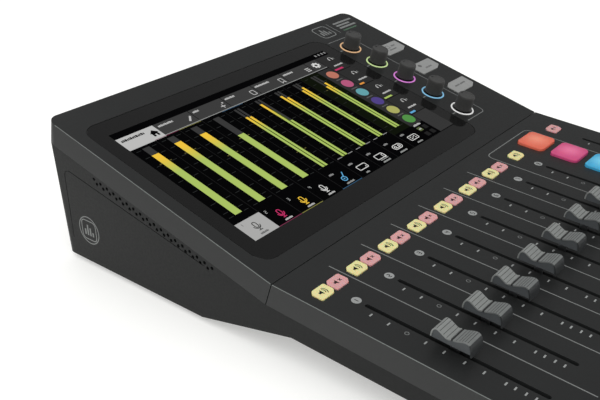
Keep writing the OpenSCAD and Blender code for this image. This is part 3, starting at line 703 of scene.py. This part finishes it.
def pad_shape():
    """Soft pad with a domed top."""
    shape = Shape()
    outline = rounded(PAD_W - 0.1, PAD_D - 0.1, PAD_R, 8)
    shape.cap(outline, -WALL_GAP - 0.1, PAD_OUT, 0.9, 5, crown=1, rings=7)
    flange_and_stem(shape, PAD_W, PAD_D, 1, 1, 1, STEM_Z)
    return shape


def button_shape(number):
    """Function button: its own small sign, and blocks in place of words."""
    shape = Shape(flat=MARK_FLAT)
    cut_cap(shape, BUTTON_W, BUTTON_D, BUTTON_CUT, 1)
    flange_and_stem(shape, BUTTON_W, BUTTON_D, -0.5, 1, 1, BUTTON_STEM_Z)
    shape.mat = 1
    if number == 1:
        shape.loop(rect(-6, -1.5, 0.5, 4.2), 0.5)
    elif number == 2:
        shape.spot(circle(1.9, 20, -5.5, 2.6))
    rows = {1: ((1.5, 7, 2.2), (-6, 3.5, -2.2)), 2: ((-3, 6, -2),),
            3: ((-7.5, -1, 0.6), (0, 7.5, 0.6))}
    for x0, x1, y in rows[number]:
        blocks(shape, x0, y, x1 - x0, 1.7)
    return shape


# The eighth channel has a solo key alone, and the main fader a mute key alone
for i in range(8):
    key(f"solo_key_{i + 1}", col(i) - (0 if i == 7 else PAIR_DX), False)
    if i < 7:
        key(f"mute_key_{i + 1}", col(i) + PAIR_DX, True)
key("main_mute_key", col(MAIN_COLUMN), True)

for i, (shade, outer, inner) in enumerate(PADS):
    name = f"pad_{i + 1}"
    # The pads' base colour is lighter towards the middle: a painted glow, beside their faint
    # emission
    skin = material(f"pad_{shade}_skin", outer, 0.42, grain=0.25, vary=0.04,
                    blotch=5, tint=glow(inner, 13), emission=(outer, 0.12),
                    Subsurface_Weight=0.2, Subsurface_Scale=0.003)
    make(f"{name}_cap", pad_shape(), at(LOWER, col(PAD_COLUMN), PAD_ROW - PAD_PITCH * i),
         [skin], name, [name], smooth=40)

for i, y in enumerate(BUTTON_ROWS):
    name = f"function_button_{i + 1}"
    make(f"{name}_cap", button_shape(i + 1), at(UPPER, col(MAIN_COLUMN) + BUTTON_SHIFT, y),
         [button_grey, ink_button], name, [name], smooth=35)

# ---- Knobs and their light rings ----

KNOB_R, KNOB_TOP, KNOB_MID, KNOB_PITCH = 6.8, 12.5, 95, 28.05
RING_R, RING_W, RING_BASE, RING_OUT = 9.2, 1.2, -1, 0.5
RINGS = (("orange", (202, 162, 120)), ("lime", (176, 198, 136)), ("magenta", (192, 112, 190)),
         ("sky", (112, 166, 198)), ("white", (202, 202, 201)))
KNOB_ROWS = [KNOB_MID + KNOB_PITCH * (2 - i) for i in range(len(RINGS))]


def knob_shape():
    """Smooth knob on its shaft, with a dished top and a short pointer mark."""
    shape = Shape()
    shape.lathe([(3, -12), (3, 0.95), (6.5, 0.95), (KNOB_R, 1.25), (6.78, 4), (6.72, 8),
                 (6.66, 11.1), (6.55, 11.8), (6.25, 12.3), (5.8, KNOB_TOP), (5.2, 12.45),
                 (4.9, 12.2), (3, 12.16), (0.4, 12.16)], 64)
    shape.mat = 1
    shape.box(-0.35, 0.35, 4, 6.2, 12.05, 12.49)
    return shape


def ring_shape():
    """Light ring with a rounded outer edge."""
    shape = Shape()
    inner = RING_R - RING_W
    shape.lathe([(inner, RING_BASE), (inner, 0.25), (inner + 0.25, RING_OUT),
                 (RING_R - 0.3, RING_OUT), (RING_R - 0.08, 0.35), (RING_R, 0.1),
                 (RING_R, RING_BASE)], 72, close=True)
    return shape


for i, ((shade, rgb), y) in enumerate(zip(RINGS, KNOB_ROWS)):
    place = at(UPPER, col(PAD_COLUMN), y)
    name = f"knob_{i + 1}"
    make(f"{name}_grip", knob_shape(), place, [knob_rubber, dark_shade_and_marks], name,
         [name], smooth=30)
    light = material(f"ring_{shade}", rgb, 0.4, grain=0.4, bump=0.1, emission=(rgb, 0.36))
    make(f"light_ring_{i + 1}", ring_shape(), place, [light], "case",
         ["knob_light_rings"], smooth=40)

# ---- Print on the decks and the cheek ----

TICKS = (-56.3, -67.5, -78.8, -90, -100.8, -112.5, -123.3, -135, -140, -145.6, -150.7)
UNITY_TICK = -78.8
DISC_ROW, DISC_R = -43, 2.9
LINE_W, LINE_FRONT, LINE_BACK = 0.7, -172, -12.2
PAD_BOX_BACK, PAD_BOX_R = -10, 5
# Box round the knobs: its open side, its right side, its front and its back
KNOB_BOX, KNOB_BOX_R = (259, 285.5, 26.5, 165.5), 4
CHEEK_EMBLEM_AT = (-0.1639, 0.154, 0.0284)


def channel_marks(shape, i):
    """Channel disc with its figure, and the scale beside the slot."""
    x = col(i)
    if i < PAD_COLUMN:
        shape.mat = 0
        shape.spot(circle(DISC_R, 28, x, DISC_ROW))
        shape.mat, shape.flat = 2, (INK[1] - 0.01, INK[1] + 0.03)
        digit(shape, i + 1, x, DISC_ROW, 2.8)
        shape.flat = INK
    for y in TICKS:
        if y == UNITY_TICK:
            shape.mat = 1
            shape.loop(circle(1.15, 16, x - 5.3, y), 0.35)
        else:
            shape.mat = 0
            shape.bar(x - 6.6, x - 4, y - 0.45, y + 0.45)


def lower_print():
    """Marks of the channels, lines between them and the outline round the pads."""
    shape = Shape()
    for i in range(MAIN_COLUMN + 1):
        if i != PAD_COLUMN:
            channel_marks(shape, i)
    shape.mat = 1
    for i in range(6):
        x = col(i + 0.5)
        shape.bar(x - LINE_W / 2, x + LINE_W / 2, LINE_FRONT, LINE_BACK)
    left, right, r = col(6.5), col(8.5), PAD_BOX_R
    shape.line([(left, LINE_FRONT)] + circle(r, 8, left + r, PAD_BOX_BACK - r, 180, -90)
               + circle(r, 8, right - r, PAD_BOX_BACK - r, 90, -90) + [(right, LINE_FRONT)],
               LINE_W)
    return shape


def upper_print():
    """Outline and pointers of the knobs, the badge, and bars in place of a name."""
    shape = Shape(mat=1, origin=LEFT_EDGE)
    open_x, edge, front, back = KNOB_BOX
    r = KNOB_BOX_R
    shape.line([(open_x, back)] + circle(r, 8, edge - r, back - r, 90, -90)
               + circle(r, 8, edge - r, front + r, 0, -90) + [(open_x, front)], LINE_W)
    shape.bar(edge - 0.3, edge + 0.3, 173, 190)
    shape.mat = 0
    for y in KNOB_ROWS:
        shape.bar(257, 260.2, y - 0.5, y + 0.5)
    emblem(shape, 272, 181, 17)
    name_x = 291.5
    for w, y in ((25, 186.6), (18, 182.6), (22, 178.6)):
        shape.bar(name_x, name_x + w, y - 1.1, y + 1.1)
    shape.mat = 2
    shape.bar(name_x, name_x + 18.5, 173.6, 175.2)
    return shape


def cheek_print():
    """The badge in a ring."""
    shape = Shape()
    emblem(shape, 0, 0, 14)
    shape.loop(circle(9.8, 40), LINE_W)
    return shape


# Faces left, with its X towards the front and its Y up
CHEEK = Matrix.Translation(CHEEK_EMBLEM_AT) @ Matrix(
    ((0, 0, -1, 0), (-1, 0, 0, 0), (0, 1, 0, 0), (0, 0, 0, 1)))
make("lower_deck_print", lower_print(), LOWER, [ink_pale, ink_line, ink_dark], "case")
make("upper_deck_print", upper_print(), UPPER, [ink_dim, ink_line, ink_green], "case")
make("side_print", cheek_print(), CHEEK, [ink_dim], "case")

# ---- Painted highlight: a pale raised bead along the arris on each side of the decks ----

# Its outline: (X from the edge of the flat top, Z from the face)
ARRIS = ((-0.3, -0.25), (-0.22, 0.03), (0, 0.05), (0.13, -0.12), (0.05, -0.4))
# It stops before the crease, the front edge and the rounded rear corners
CREASE_STOP, FRONT_STOP, REAR_STOP = 0.6, 6, 9

for name, base, ends in (("lower", LOWER, (FRONT_STOP - LOWER_LEN, -CREASE_STOP)),
                         ("upper", UPPER, (CREASE_STOP, UPPER_LEN - REAR_STOP))):
    arris = Shape()
    for s in (-1, 1):
        arris.loft([[(s * (HALF_TOP + u), y, z) for u, z in ARRIS[::s]] for y in ends])
    make(f"{name}_deck_arris", arris, base, [arris_highlight_skin], "case")

# ---- Details of the sockets on the back ----

# A frame on the rear panel's face: seen from behind, X runs to the right, Y up and Z out
BACK_Y = 178
FACING_BACK = Matrix(((-1, 0, 0, 0), (0, 0, 1, 0), (0, 1, 0, 0), (0, 0, 0, 1)))
BACK = Matrix.Translation((0, BACK_Y * MM, 0)) @ FACING_BACK
# Places of the sockets in the object's X, and their heights
MIC_X, MIC_Z = [-122 + 32 * i for i in range(4)], 49
JACK_X, JACK_Z = [14 + 20 * i for i in range(6)], 60
DATA_Z, USB_X, NET_X, CARD_X, POWER_X = 32, (16, 34), 58, 90, 122
SWITCH_X, SWITCH_Z, ROCKER_PIN, ROCKER_TILT, ROCKER_FACE = 144, 34, 5, 8, 5.9
JACK_R = 3.3
TRIM_SKINS = [nickel, cap_end_shade_and_latch_skin, screw_black, gold, socket_black,
              material("socket_lamp_green", (86, 150, 84), 0.3, bump=0.1),
              material("socket_lamp_amber", (196, 146, 60), 0.3, bump=0.1)]
NICKEL, LATCH, SCREW, GOLD, BLACK, LAMP_GREEN, LAMP_AMBER = range(len(TRIM_SKINS))


def ring(shape, r_out, r_in, x, y, z0, z1, n=48):
    shape.tube(circle(r_out, n, x, y), circle(r_in, n, x, y), z0, z1)


def mic_trim(shape):
    """Flange screws, latch, sleeves round the three pin holes, and rings of the jack."""
    shape.mat = SCREW
    for s in (-1, 1):
        shape.lathe([(0.3, 1.5), (0.3, 1.75), (0.8, 1.75), (0.9, 2.1), (1.5, 2), (1.8, 1.75),
                     (1.85, 1.5)], 24, s * 10.6, s * 13)
    shape.mat = LATCH
    shape.cap(soften(rect(-3.4, 3.4, 11.2, 14.4), 0.8), 1.4, 3, 0.5)
    for x, y in circle(5.4, 3, start=90):
        shape.mat = GOLD
        ring(shape, 1.6, 1, x, y, 1.3, 1.72, 20)
        shape.mat = BLACK
        shape.prism(circle(1, 20, x, y), 1.3, 1.64)
    shape.mat = NICKEL
    ring(shape, JACK_R + 0.5, JACK_R + 0.05, 0, 0, 1.3, 1.75, 36)
    ring(shape, 10.4, 9.75, 0, 0, 1.5, 1.72)


def jack_trim(shape):
    """Bright mouth of the jack, and a washer round its nut."""
    shape.mat = NICKEL
    ring(shape, 4.75, JACK_R + 0.05, 0, 0, 3.6, 4.2, 40)
    ring(shape, 7.4, 5.6, 0, 0, -0.05, 0.35)


def usb_trim(shape):
    """Tongue of a small data socket, with nine contacts."""
    shape.mat = BLACK
    shape.box(-3.1, 3.1, -0.35, 0.35, -8.2, -0.8)
    shape.mat = GOLD
    for k in range(9):
        x = -2.6 + 0.65 * k
        shape.box(x - 0.17, x + 0.17, -0.42, 0.42, -7.8, -1.6)


def network_trim(shape):
    """Liner of the network socket, its back wall, eight sprung contacts and two lamps."""
    shape.mat = BLACK
    shape.tube(rect(-6.9, 6.9, -5.6, 5.6), rect(-5.8, 5.8, -2.6, 4.6), -16, -0.5)
    shape.box(-6, 6, -4, 4.8, -16.4, -15.2)
    shape.mat = GOLD
    for k in range(8):
        x = -3.56 + 1.017 * k
        shape.loft([[(x - 0.2, y + 0.4, z), (x + 0.2, y + 0.4, z), (x + 0.2, y, z),
                     (x - 0.2, y, z)] for y, z in ((4.1, -3), (2, -12))])
    for x, lamp in ((-4.9, LAMP_GREEN), (4.9, LAMP_AMBER)):
        shape.mat = lamp
        shape.cap(rect(x - 1.4, x + 1.4, -5, -3.4), -1.5, -0.2, 0.2)


def card_trim(shape):
    """Floor of the card slot, with nine contacts."""
    shape.mat = BLACK
    shape.box(-12, 12, -1.1, 1.1, -22, -9)
    shape.mat = GOLD
    for k in range(9):
        x = -9.6 + 2.4 * k
        shape.box(x - 0.6, x + 0.6, 0.7, 1.15, -9.4, -3)


def power_trim(shape):
    """Pin of the power inlet, and the ring round its mouth."""
    shape.mat = NICKEL
    shape.lathe([(1.08, -12), (1.08, -1.6), (0.9, -1.15), (0.5, -0.92), (0.1, -0.9)], 24)
    ring(shape, 4.1, 3.25, 0, 0, 0.9, 1.15, 36)


def rear_print():
    """Figures at the sockets, brackets over the two groups, and a plate of plain blocks."""
    shape = Shape()
    for k, x in enumerate(MIC_X):
        digit(shape, k + 1, -x, MIC_Z + 19.6, 4.4)
    for k, x in enumerate(JACK_X):
        digit(shape, k + 1, -x, JACK_Z + 11, 3.2)
    for x, w in ((USB_X[0], 8), (USB_X[1], 8), (NET_X, 11), (CARD_X, 14), (POWER_X, 9)):
        blocks(shape, -x - w / 2, DATA_Z + 10.6, w, 1.6)
    for x0, x1, low, top in ((-136, -12, MIC_Z - 16, 73), (4, 124, JACK_Z - 8.5, 75.4)):
        shape.line([(-x1, low), (-x1, top), (-x0, top), (-x0, low)], 0.5)
    plate_x, plate_z = 66, 17.6
    shape.loop(rounded(84, 13, 1.6, 4, plate_x, plate_z), 0.4)
    for k, w in enumerate((46, 58, 38)):
        blocks(shape, plate_x - 38, 21 - 3.4 * k, w, 1.4)
    sign_x = plate_x + 34
    shape.loop(circle(3.6, 24, sign_x, plate_z), 0.4)
    shape.line([(sign_x - 1.8, plate_z - 1.6), (sign_x + 1.8, plate_z + 1.6)], 0.4)
    return shape


def switch_marks():
    """The on bar and the off circle, on the rocker's face."""
    shape = Shape(flat=(ROCKER_FACE, ROCKER_FACE + 0.14))
    shape.bar(-0.35, 0.35, 2.8, 6.4)
    shape.loop(circle(1.7, 24, 0, -4.6), 0.6)
    return shape


trim = Shape()
for draw, places, z in ((mic_trim, MIC_X, MIC_Z), (jack_trim, JACK_X, JACK_Z),
                        (usb_trim, USB_X, DATA_Z), (network_trim, [NET_X], DATA_Z),
                        (card_trim, [CARD_X], DATA_Z), (power_trim, [POWER_X], DATA_Z)):
    for x in places:
        trim.origin = (-x, z)
        draw(trim)
make("socket_trim", trim, BACK, TRIM_SKINS, "case", smooth=35)
make("rear_panel_print", rear_print(), BACK, [ink_dim], "case")
ROCKER = (Matrix.Translation((SWITCH_X * MM, (BACK_Y - ROCKER_PIN) * MM, SWITCH_Z * MM))
          @ Matrix.Rotation(math.radians(-ROCKER_TILT), 4, "X") @ FACING_BACK)
make("power_switch_marks", switch_marks(), ROCKER, [ink_pale], "power_switch")

# ---- Picture on the screen: coloured faces in thin layers under the glass's top ----

GLASS_TOP = -0.2
LAYER = 0.02
UI = {"black": (3, 3, 4), "dark": (34, 34, 34), "tab": (60, 60, 60), "pale": (188, 188, 187),
      "white": (214, 214, 212), "grid": (46, 48, 48), "lime": (170, 194, 100),
      "amber": (240, 196, 64), "rose": (120, 52, 78), "straw": (128, 126, 66),
      "navy": (52, 88, 118), "ash": (150, 152, 150), "magenta": (196, 52, 104),
      "green_dark": (13, 18, 8), "orange": (228, 150, 64), "sky": (96, 170, 216),
      "unlit": (56, 56, 56), "grey": (140, 140, 140), "cell": (46, 46, 46), "mid": (92, 92, 92),
      "selected": (170, 170, 169), "peak": (98, 92, 50), "low_cell": (54, 54, 54),
      "meter_side": (70, 88, 24), "bank": (86, 96, 62)}
# Places are (X from the decks' left edge, Y up the upper deck)
SCREEN = (20.6, 244.6, 30.3, 160.5)
# Edges between the nine channel strips, and the meters in them
EDGES = (20.6, 42, 63.5, 84.5, 106, 127, 148, 169, 190, 211)
STRIPS = tuple(zip(EDGES, EDGES[1:]))
STRIP_TOP = 139
GRID = (136, 127.5, 117, 106, 97.5, 85, 69.5, 59, 54.2)
SINGLE = ((31.3, 128), (52.7, 130), (74, 128), (95.3, 113))
TWIN = ((114.4, 125.5), (117.6, 124.5), (136.3, 131.5), (139.6, 105), (158, 131),
        (161.2, 127), (179.2, 127.5), (182.4, 130.5), (200.8, 121), (204, 125.5))
METER_LOW, METER_TOP, AMBER_FROM, AMBER_STEPS = 54.3, 137, 106, 16
FADER_MARKS = (118, 118, 100, 109.5, 76, 54, 54, 54, 117)
# Coloured ends of the strips: from, to and colour
STRIP_COLORS = ((42, 63, "rose"), (63.5, 84, "straw"), (105, 126, "navy"))
# Column of round samples, and the cells of the headphone mixes to the right of it
PAD_SIDE, MIX_SIDE, MIX_RIGHT = 211, 226, 244.5
DOTS = ((130, (186, 116, 98)), (115, (180, 88, 124)), (100.1, (98, 160, 168)),
        (85.2, (80, 66, 134)), (70.4, (170, 170, 98)), (55.6, (82, 144, 72)))
# Heights of each mix's icon, value and bar, with the bar's colour and width
MIXES = ((149.5, 139, 133.5, "magenta", 10), (124.5, 114, 108.5, "orange", 5.6),
         (100, 90, 84, "lime", 9.5), (75.5, 65.5, 59.5, "sky", 6.5))
screen = Shape(origin=LEFT_EDGE)


def lay(color, layer):
    """Sets the colour and the heights of the next marks."""
    screen.tint = linear(UI[color] if isinstance(color, str) else color)
    screen.flat = (GLASS_TOP - 0.03, GLASS_TOP + LAYER * (layer + 1))


def area(x0, x1, b0, b1, color, layer):
    lay(color, layer)
    screen.bar(x0, x1, b0, b1)


def dot_area(x, b, half_w, half_h, color, layer):
    """A small rectangle by its middle."""
    area(x - half_w, x + half_w, b - half_h, b + half_h, color, layer)


def trace(pts, w, color, layer=4):
    lay(color, layer)
    screen.line(pts, w)


def outline(pts, w, color):
    lay(color, 4)
    screen.loop(pts, w)


def fill(pts, color, layer=3):
    lay(color, layer)
    screen.spot(pts)


def words(x, b, w, h, color):
    lay(color, 4)
    blocks(screen, x, b, w, h)


def number(n, x, b, h, color):
    lay(color, 4)
    digit(screen, n, x, b, h)


def box_icon(x, b, w, h, color, line=0.6):
    outline(rounded(w, h, 0.9, 3, x, b), line, color)


def mic_icon(x, b, color):
    outline(rounded(2.6, 5, 1.25, 4, x, b + 1.2), 0.6, color)
    trace(circle(2.6, 9, x, b + 0.4, 180, 180), 0.6, color)
    trace([(x, b - 2.2), (x, b - 3.7)], 0.6, color)
    trace([(x - 1.5, b - 3.7), (x + 1.5, b - 3.7)], 0.6, color)


def gear_icon(x, b):
    for k in range(8):
        u, v = math.cos(math.radians(45 * k)), math.sin(math.radians(45 * k))
        trace([(x + 2.4 * u, b + 2.4 * v), (x + 3.9 * u, b + 3.9 * v)], 1.5, "white")
    outline(circle(2.2, 20, x, b), 1.5, "white")


def guitar_icon(x, b):
    outline(circle(2.1, 18, x, b), 0.7, "sky")
    fill(circle(0.6, 28, x, b), "sky")
    trace([(x + 1.2, b + 1.8), (x + 4.2, b + 6)], 0.7, "sky")


def headphone_icon(x, b):
    trace(circle(1.9, 9, x, b - 1.4, 0, 180), 0.5, "pale")
    for s in (-1, 1):
        dot_area(x + s * 1.9, b - 2.3, 0.55, 1, "pale", 4)


def status_and_tabs():
    """Status lights, the open tab with its house, and the icons and names of the others."""
    for x in (231.5, 235.5, 239.5, 243):
        area(x - 0.9, x + 0.7, 156.2, 158.6, "grey", 2)
    area(52, MIX_SIDE, 141, 154, "tab", 1)
    area(20.6, 52, 139.5, 154, "pale", 2)
    for x in (84.3, 116.5, 148.7, 181, 212):
        area(x - 0.25, x + 0.25, 142, 154, "black", 2)
    words(22.6, 150.2, 19, 2.3, "black")
    for x, w in ((54.5, 13), (86.5, 5.5), (118.5, 10), (150.5, 15.5), (183, 11)):
        words(x, 150.6, w, 1.9, "pale")
    fill(((43.9, 146.4), (47.5, 150.1), (51.1, 146.4)), "black")
    area(45, 50, 143, 146.4, "black", 3)
    area(46.8, 48.2, 143, 145.2, "pale", 4)
    trace([(77.8, 143.8), (81.8, 148.6)], 1.5, "pale")
    trace([(109, 145), (113.4, 145)], 0.7, "pale")
    trace([(111.2, 142.8), (111.2, 147.2)], 0.7, "pale")
    fill(circle(0.8, 28, 113.6, 148.4), "pale")
    box_icon(144, 146, 4, 5.4, "pale")
    outline([(174.6, 143), (174.6, 149), (178.2, 149), (178.2, 143), (176.4, 144.6)],
            0.6, "pale")
    for b in (144, 145.9, 147.8):
        trace([(205.8, b), (210.4, b)], 0.9, "pale")
    gear_icon(219.6, 147.2)
    area(52, MIX_SIDE, 140.4, 140.95, "ash", 3)


def meter(x, w, level):
    """Lit bar up to its level, which turns to amber above AMBER_FROM where it is high."""
    area(x - w / 2, x + w / 2, level, METER_TOP, "unlit", 2)
    area(x - w / 2, x + w / 2, METER_LOW, level, "lime", 3)
    if level > 120:
        rise = (level - AMBER_FROM) / AMBER_STEPS
        for k in range(AMBER_STEPS):
            low = AMBER_FROM + rise * k
            share = min(1, 1.25 * (k + 1) / AMBER_STEPS)
            shade = tuple(a + (b - a) * share for a, b in zip(UI["lime"], UI["amber"]))
            area(x - w / 2, x + w / 2, low, low + rise, shade, 4)


def channel_strips():
    """Dividers, scales, meters and fader marks of the nine strips."""
    for x0, x1, shade in STRIP_COLORS:
        area(x0, x1, 139.7, 140.1, shade, 3)
    area(190, PAD_SIDE, 48.5, 140, "green_dark", 1)
    for x0, x1 in STRIPS:
        if x0 > EDGES[0]:
            area(x0 - 0.15, x0 + 0.15, 30.5, STRIP_TOP, "dark", 1)
        for b in GRID:
            for s in (-1, 1):
                dot_area((x0 + x1) / 2 + s * 6.5, b, 1.9, 0.18, "grid", 2)
    for bars, w in ((SINGLE, 5.8), (TWIN, 2.1)):
        for x, level in bars:
            meter(x, w, level)
    for x in (116, 138, 159.6, 180.8, 202.4):
        area(x - 0.6, x + 0.6, METER_LOW, 121, "meter_side", 2)
    for (x0, x1), b in zip(STRIPS, FADER_MARKS):
        x = (x0 + x1) / 2
        raised = b > METER_LOW
        for s in (-1, 1):
            trace([(x + s * 3.4, b), (x + s * (5 if raised else 8.4), b)], 0.6,
                  "peak" if raised else "grey", 5)


def channel_cells():
    """Cells under the meters, with each channel's icon, figure and name."""
    area(20.6, 42, 30.5, 47.8, "selected", 2)
    mic_icon(31.3, 39.4, "dark")
    number(1, 24.4, 45, 2.2, "mid")
    words(28, 32.9, 6.4, 1.5, "mid")
    for k, shade in enumerate(("magenta", "amber", "white")):
        x = EDGES[k + 1]
        number(k + 2, x + 3.4, 45, 2.4, "ash")
        mic_icon(x + 10.6, 38.8, shade)
        words(x + 8, 32.7, 6.4, 1.4, "pale")
    guitar_icon(115.4, 37.4)
    words(112.4, 32.7, 7.6, 1.4, "ash")
    box_icon(137, 38.6, 9.4, 4.6, "white")
    fill(circle(0.5, 28, 139.9, 37.6), "white")
    box_icon(158, 38.8, 9, 4.8, "white")
    trace([(154.5, 35), (163, 35)], 0.7, "ash")
    box_icon(161.6, 38, 2.4, 4, "white", 0.5)
    outline(rounded(9.4, 4.8, 2.3, 6, 179.5, 38.6), 0.6, "white")
    for x in (177.3, 181.7):
        outline(circle(1, 12, x, 38.6), 0.6, "white")
    trace([(177.3, 37.4), (181.7, 37.4)], 0.5, "white")
    box_icon(200.5, 38.8, 9.4, 5, "white")
    for u, v in ((-2.2, 1), (2.2, 1), (-2.2, -1), (2.2, -1), (0, 0)):
        dot_area(200.5 + u, 38.8 + v, 0.55, 0.45, "white", 4)
    for x, w in ((134, 3.4), (154.4, 8), (175, 8.2), (197.5, 6.4)):
        words(x, 32.6, w, 1.4, "ash")
    for x in EDGES[4:9]:
        words(x + 2.8, 45.3, 4.6, 1.7, "grey")
    for x0, x1, shade in STRIP_COLORS:
        area(x0, x1, 30.4, 30.9, shade, 3)


def sample_column():
    """Round samples in the pads' colours, over four small bank squares."""
    area(PAD_SIDE, MIX_SIDE, 48, STRIP_TOP, "cell", 2)
    for b, shade in DOTS:
        fill(circle(5.2, 28, 219.5, b), shade, 4)
        if b > 60:
            words(215, b - 7.6, 7.5, 1.1, "mid")
    area(PAD_SIDE, MIX_SIDE, 30.5, 48, "black", 2)
    words(213.2, 47, 8.5, 1.9, "pale")
    for x, b, shade in ((214.6, 42, "bank"), (221.4, 42, "dark"), (214.6, 35, "dark"),
                        (221.4, 35, "dark")):
        dot_area(x, b, 2.2, 2.2, shade, 3)
    words(213.4, 42, 2.6, 1.4, "pale")


def headphone_mixes():
    """Four cells with an icon, a figure, a value and a coloured bar, and a spare cell."""
    area(226.5, MIX_RIGHT, 57.5, 154, "cell", 2)
    area(226.5, MIX_RIGHT, 31, 57.3, "low_cell", 2)
    for b in (131, 106.5, 82, 57.5):
        area(226.5, MIX_RIGHT, b - 0.3, b + 0.3, "black", 3)
    for k, (icon, value, bar, shade, w) in enumerate(MIXES):
        headphone_icon(238.6, icon)
        number(k + 1, 242.5, icon - 2, 1.9, "ash")
        words(232.2, value - 0.6, 10.6, 1.7, "pale")
        area(227.5, 227.5 + w, bar - 0.9, bar + 0.9, shade, 4)


area(*SCREEN, "black", 0)
status_and_tabs()
channel_strips()
channel_cells()
sample_column()
headphone_mixes()
make("screen_picture", screen, UPPER, [screen_light], "case", tinted=True)

# ---- Stage, light and camera ----

FLOOR_HALF, FLOOR_THICK = 4500, 4.0
floor_shape = Shape()
floor_shape.box(-FLOOR_HALF, FLOOR_HALF, -FLOOR_HALF, FLOOR_HALF, -FLOOR_THICK, 0.0)
floor_skin = material("floor_skin", (212, 212, 210), 0.7, grain=3.0, bump=0.1, vary=0.01,
                      blotch=400.0, emission=((255, 255, 253), 0.4))
mesh_object("floor", floor_shape, [floor_skin])

scene = bpy.context.scene
scene.view_settings.view_transform = "Standard"


def studio():
    """White surroundings, dimmer where they are mirrored, for dark gloss without glare."""
    world = bpy.data.worlds.new("studio")
    scene.world = world
    world.use_nodes = True
    tree = world.node_tree
    back = tree.nodes["Background"]
    set_inputs(back, Color=(1.0, 1.0, 1.0, 1.0))
    path = add_node(tree, "LightPath")
    strength = add_node(tree, "MapRange", To_Min=1.0, To_Max=0.2)
    tree.links.new(path.outputs["Is Glossy Ray"], strength.inputs["Value"])
    tree.links.new(strength.outputs["Result"], back.inputs["Strength"])


def soft_light(name, where, power):
    """A round area light, 1.2 m across, that faces the object."""
    light = bpy.data.lights.new(name, "AREA")
    light.shape = "DISK"
    light.size = 1.2
    light.energy = power
    obj = bpy.data.objects.new(name, light)
    scene.collection.objects.link(obj)
    obj.location = where
    aim = Vector((0, 0, 0.05)) - Vector(where)
    obj.rotation_euler = aim.to_track_quat("-Z", "Y").to_euler()


studio()
soft_light("key_light", (-0.9, -0.5, 1.5), 8)
soft_light("back_light", (0.4, 1.6, 1.6), 2)

# Lens in mm, place in metres and turn in degrees, solved from the decks' straight edges
LENS = 51.846
CAMERA_AT = (-0.457707, -0.270368, 0.305247)
CAMERA_TURN = (62.69135, 0.75665, -50.71098)
camera = bpy.data.cameras.new("camera")
camera.sensor_width = 36.0
camera.lens = LENS
camera.clip_start, camera.clip_end = 0.01, 20.0
eye = bpy.data.objects.new("camera", camera)
scene.collection.objects.link(eye)
eye.location = CAMERA_AT
eye.rotation_euler = [math.radians(v) for v in CAMERA_TURN]
scene.camera = eye
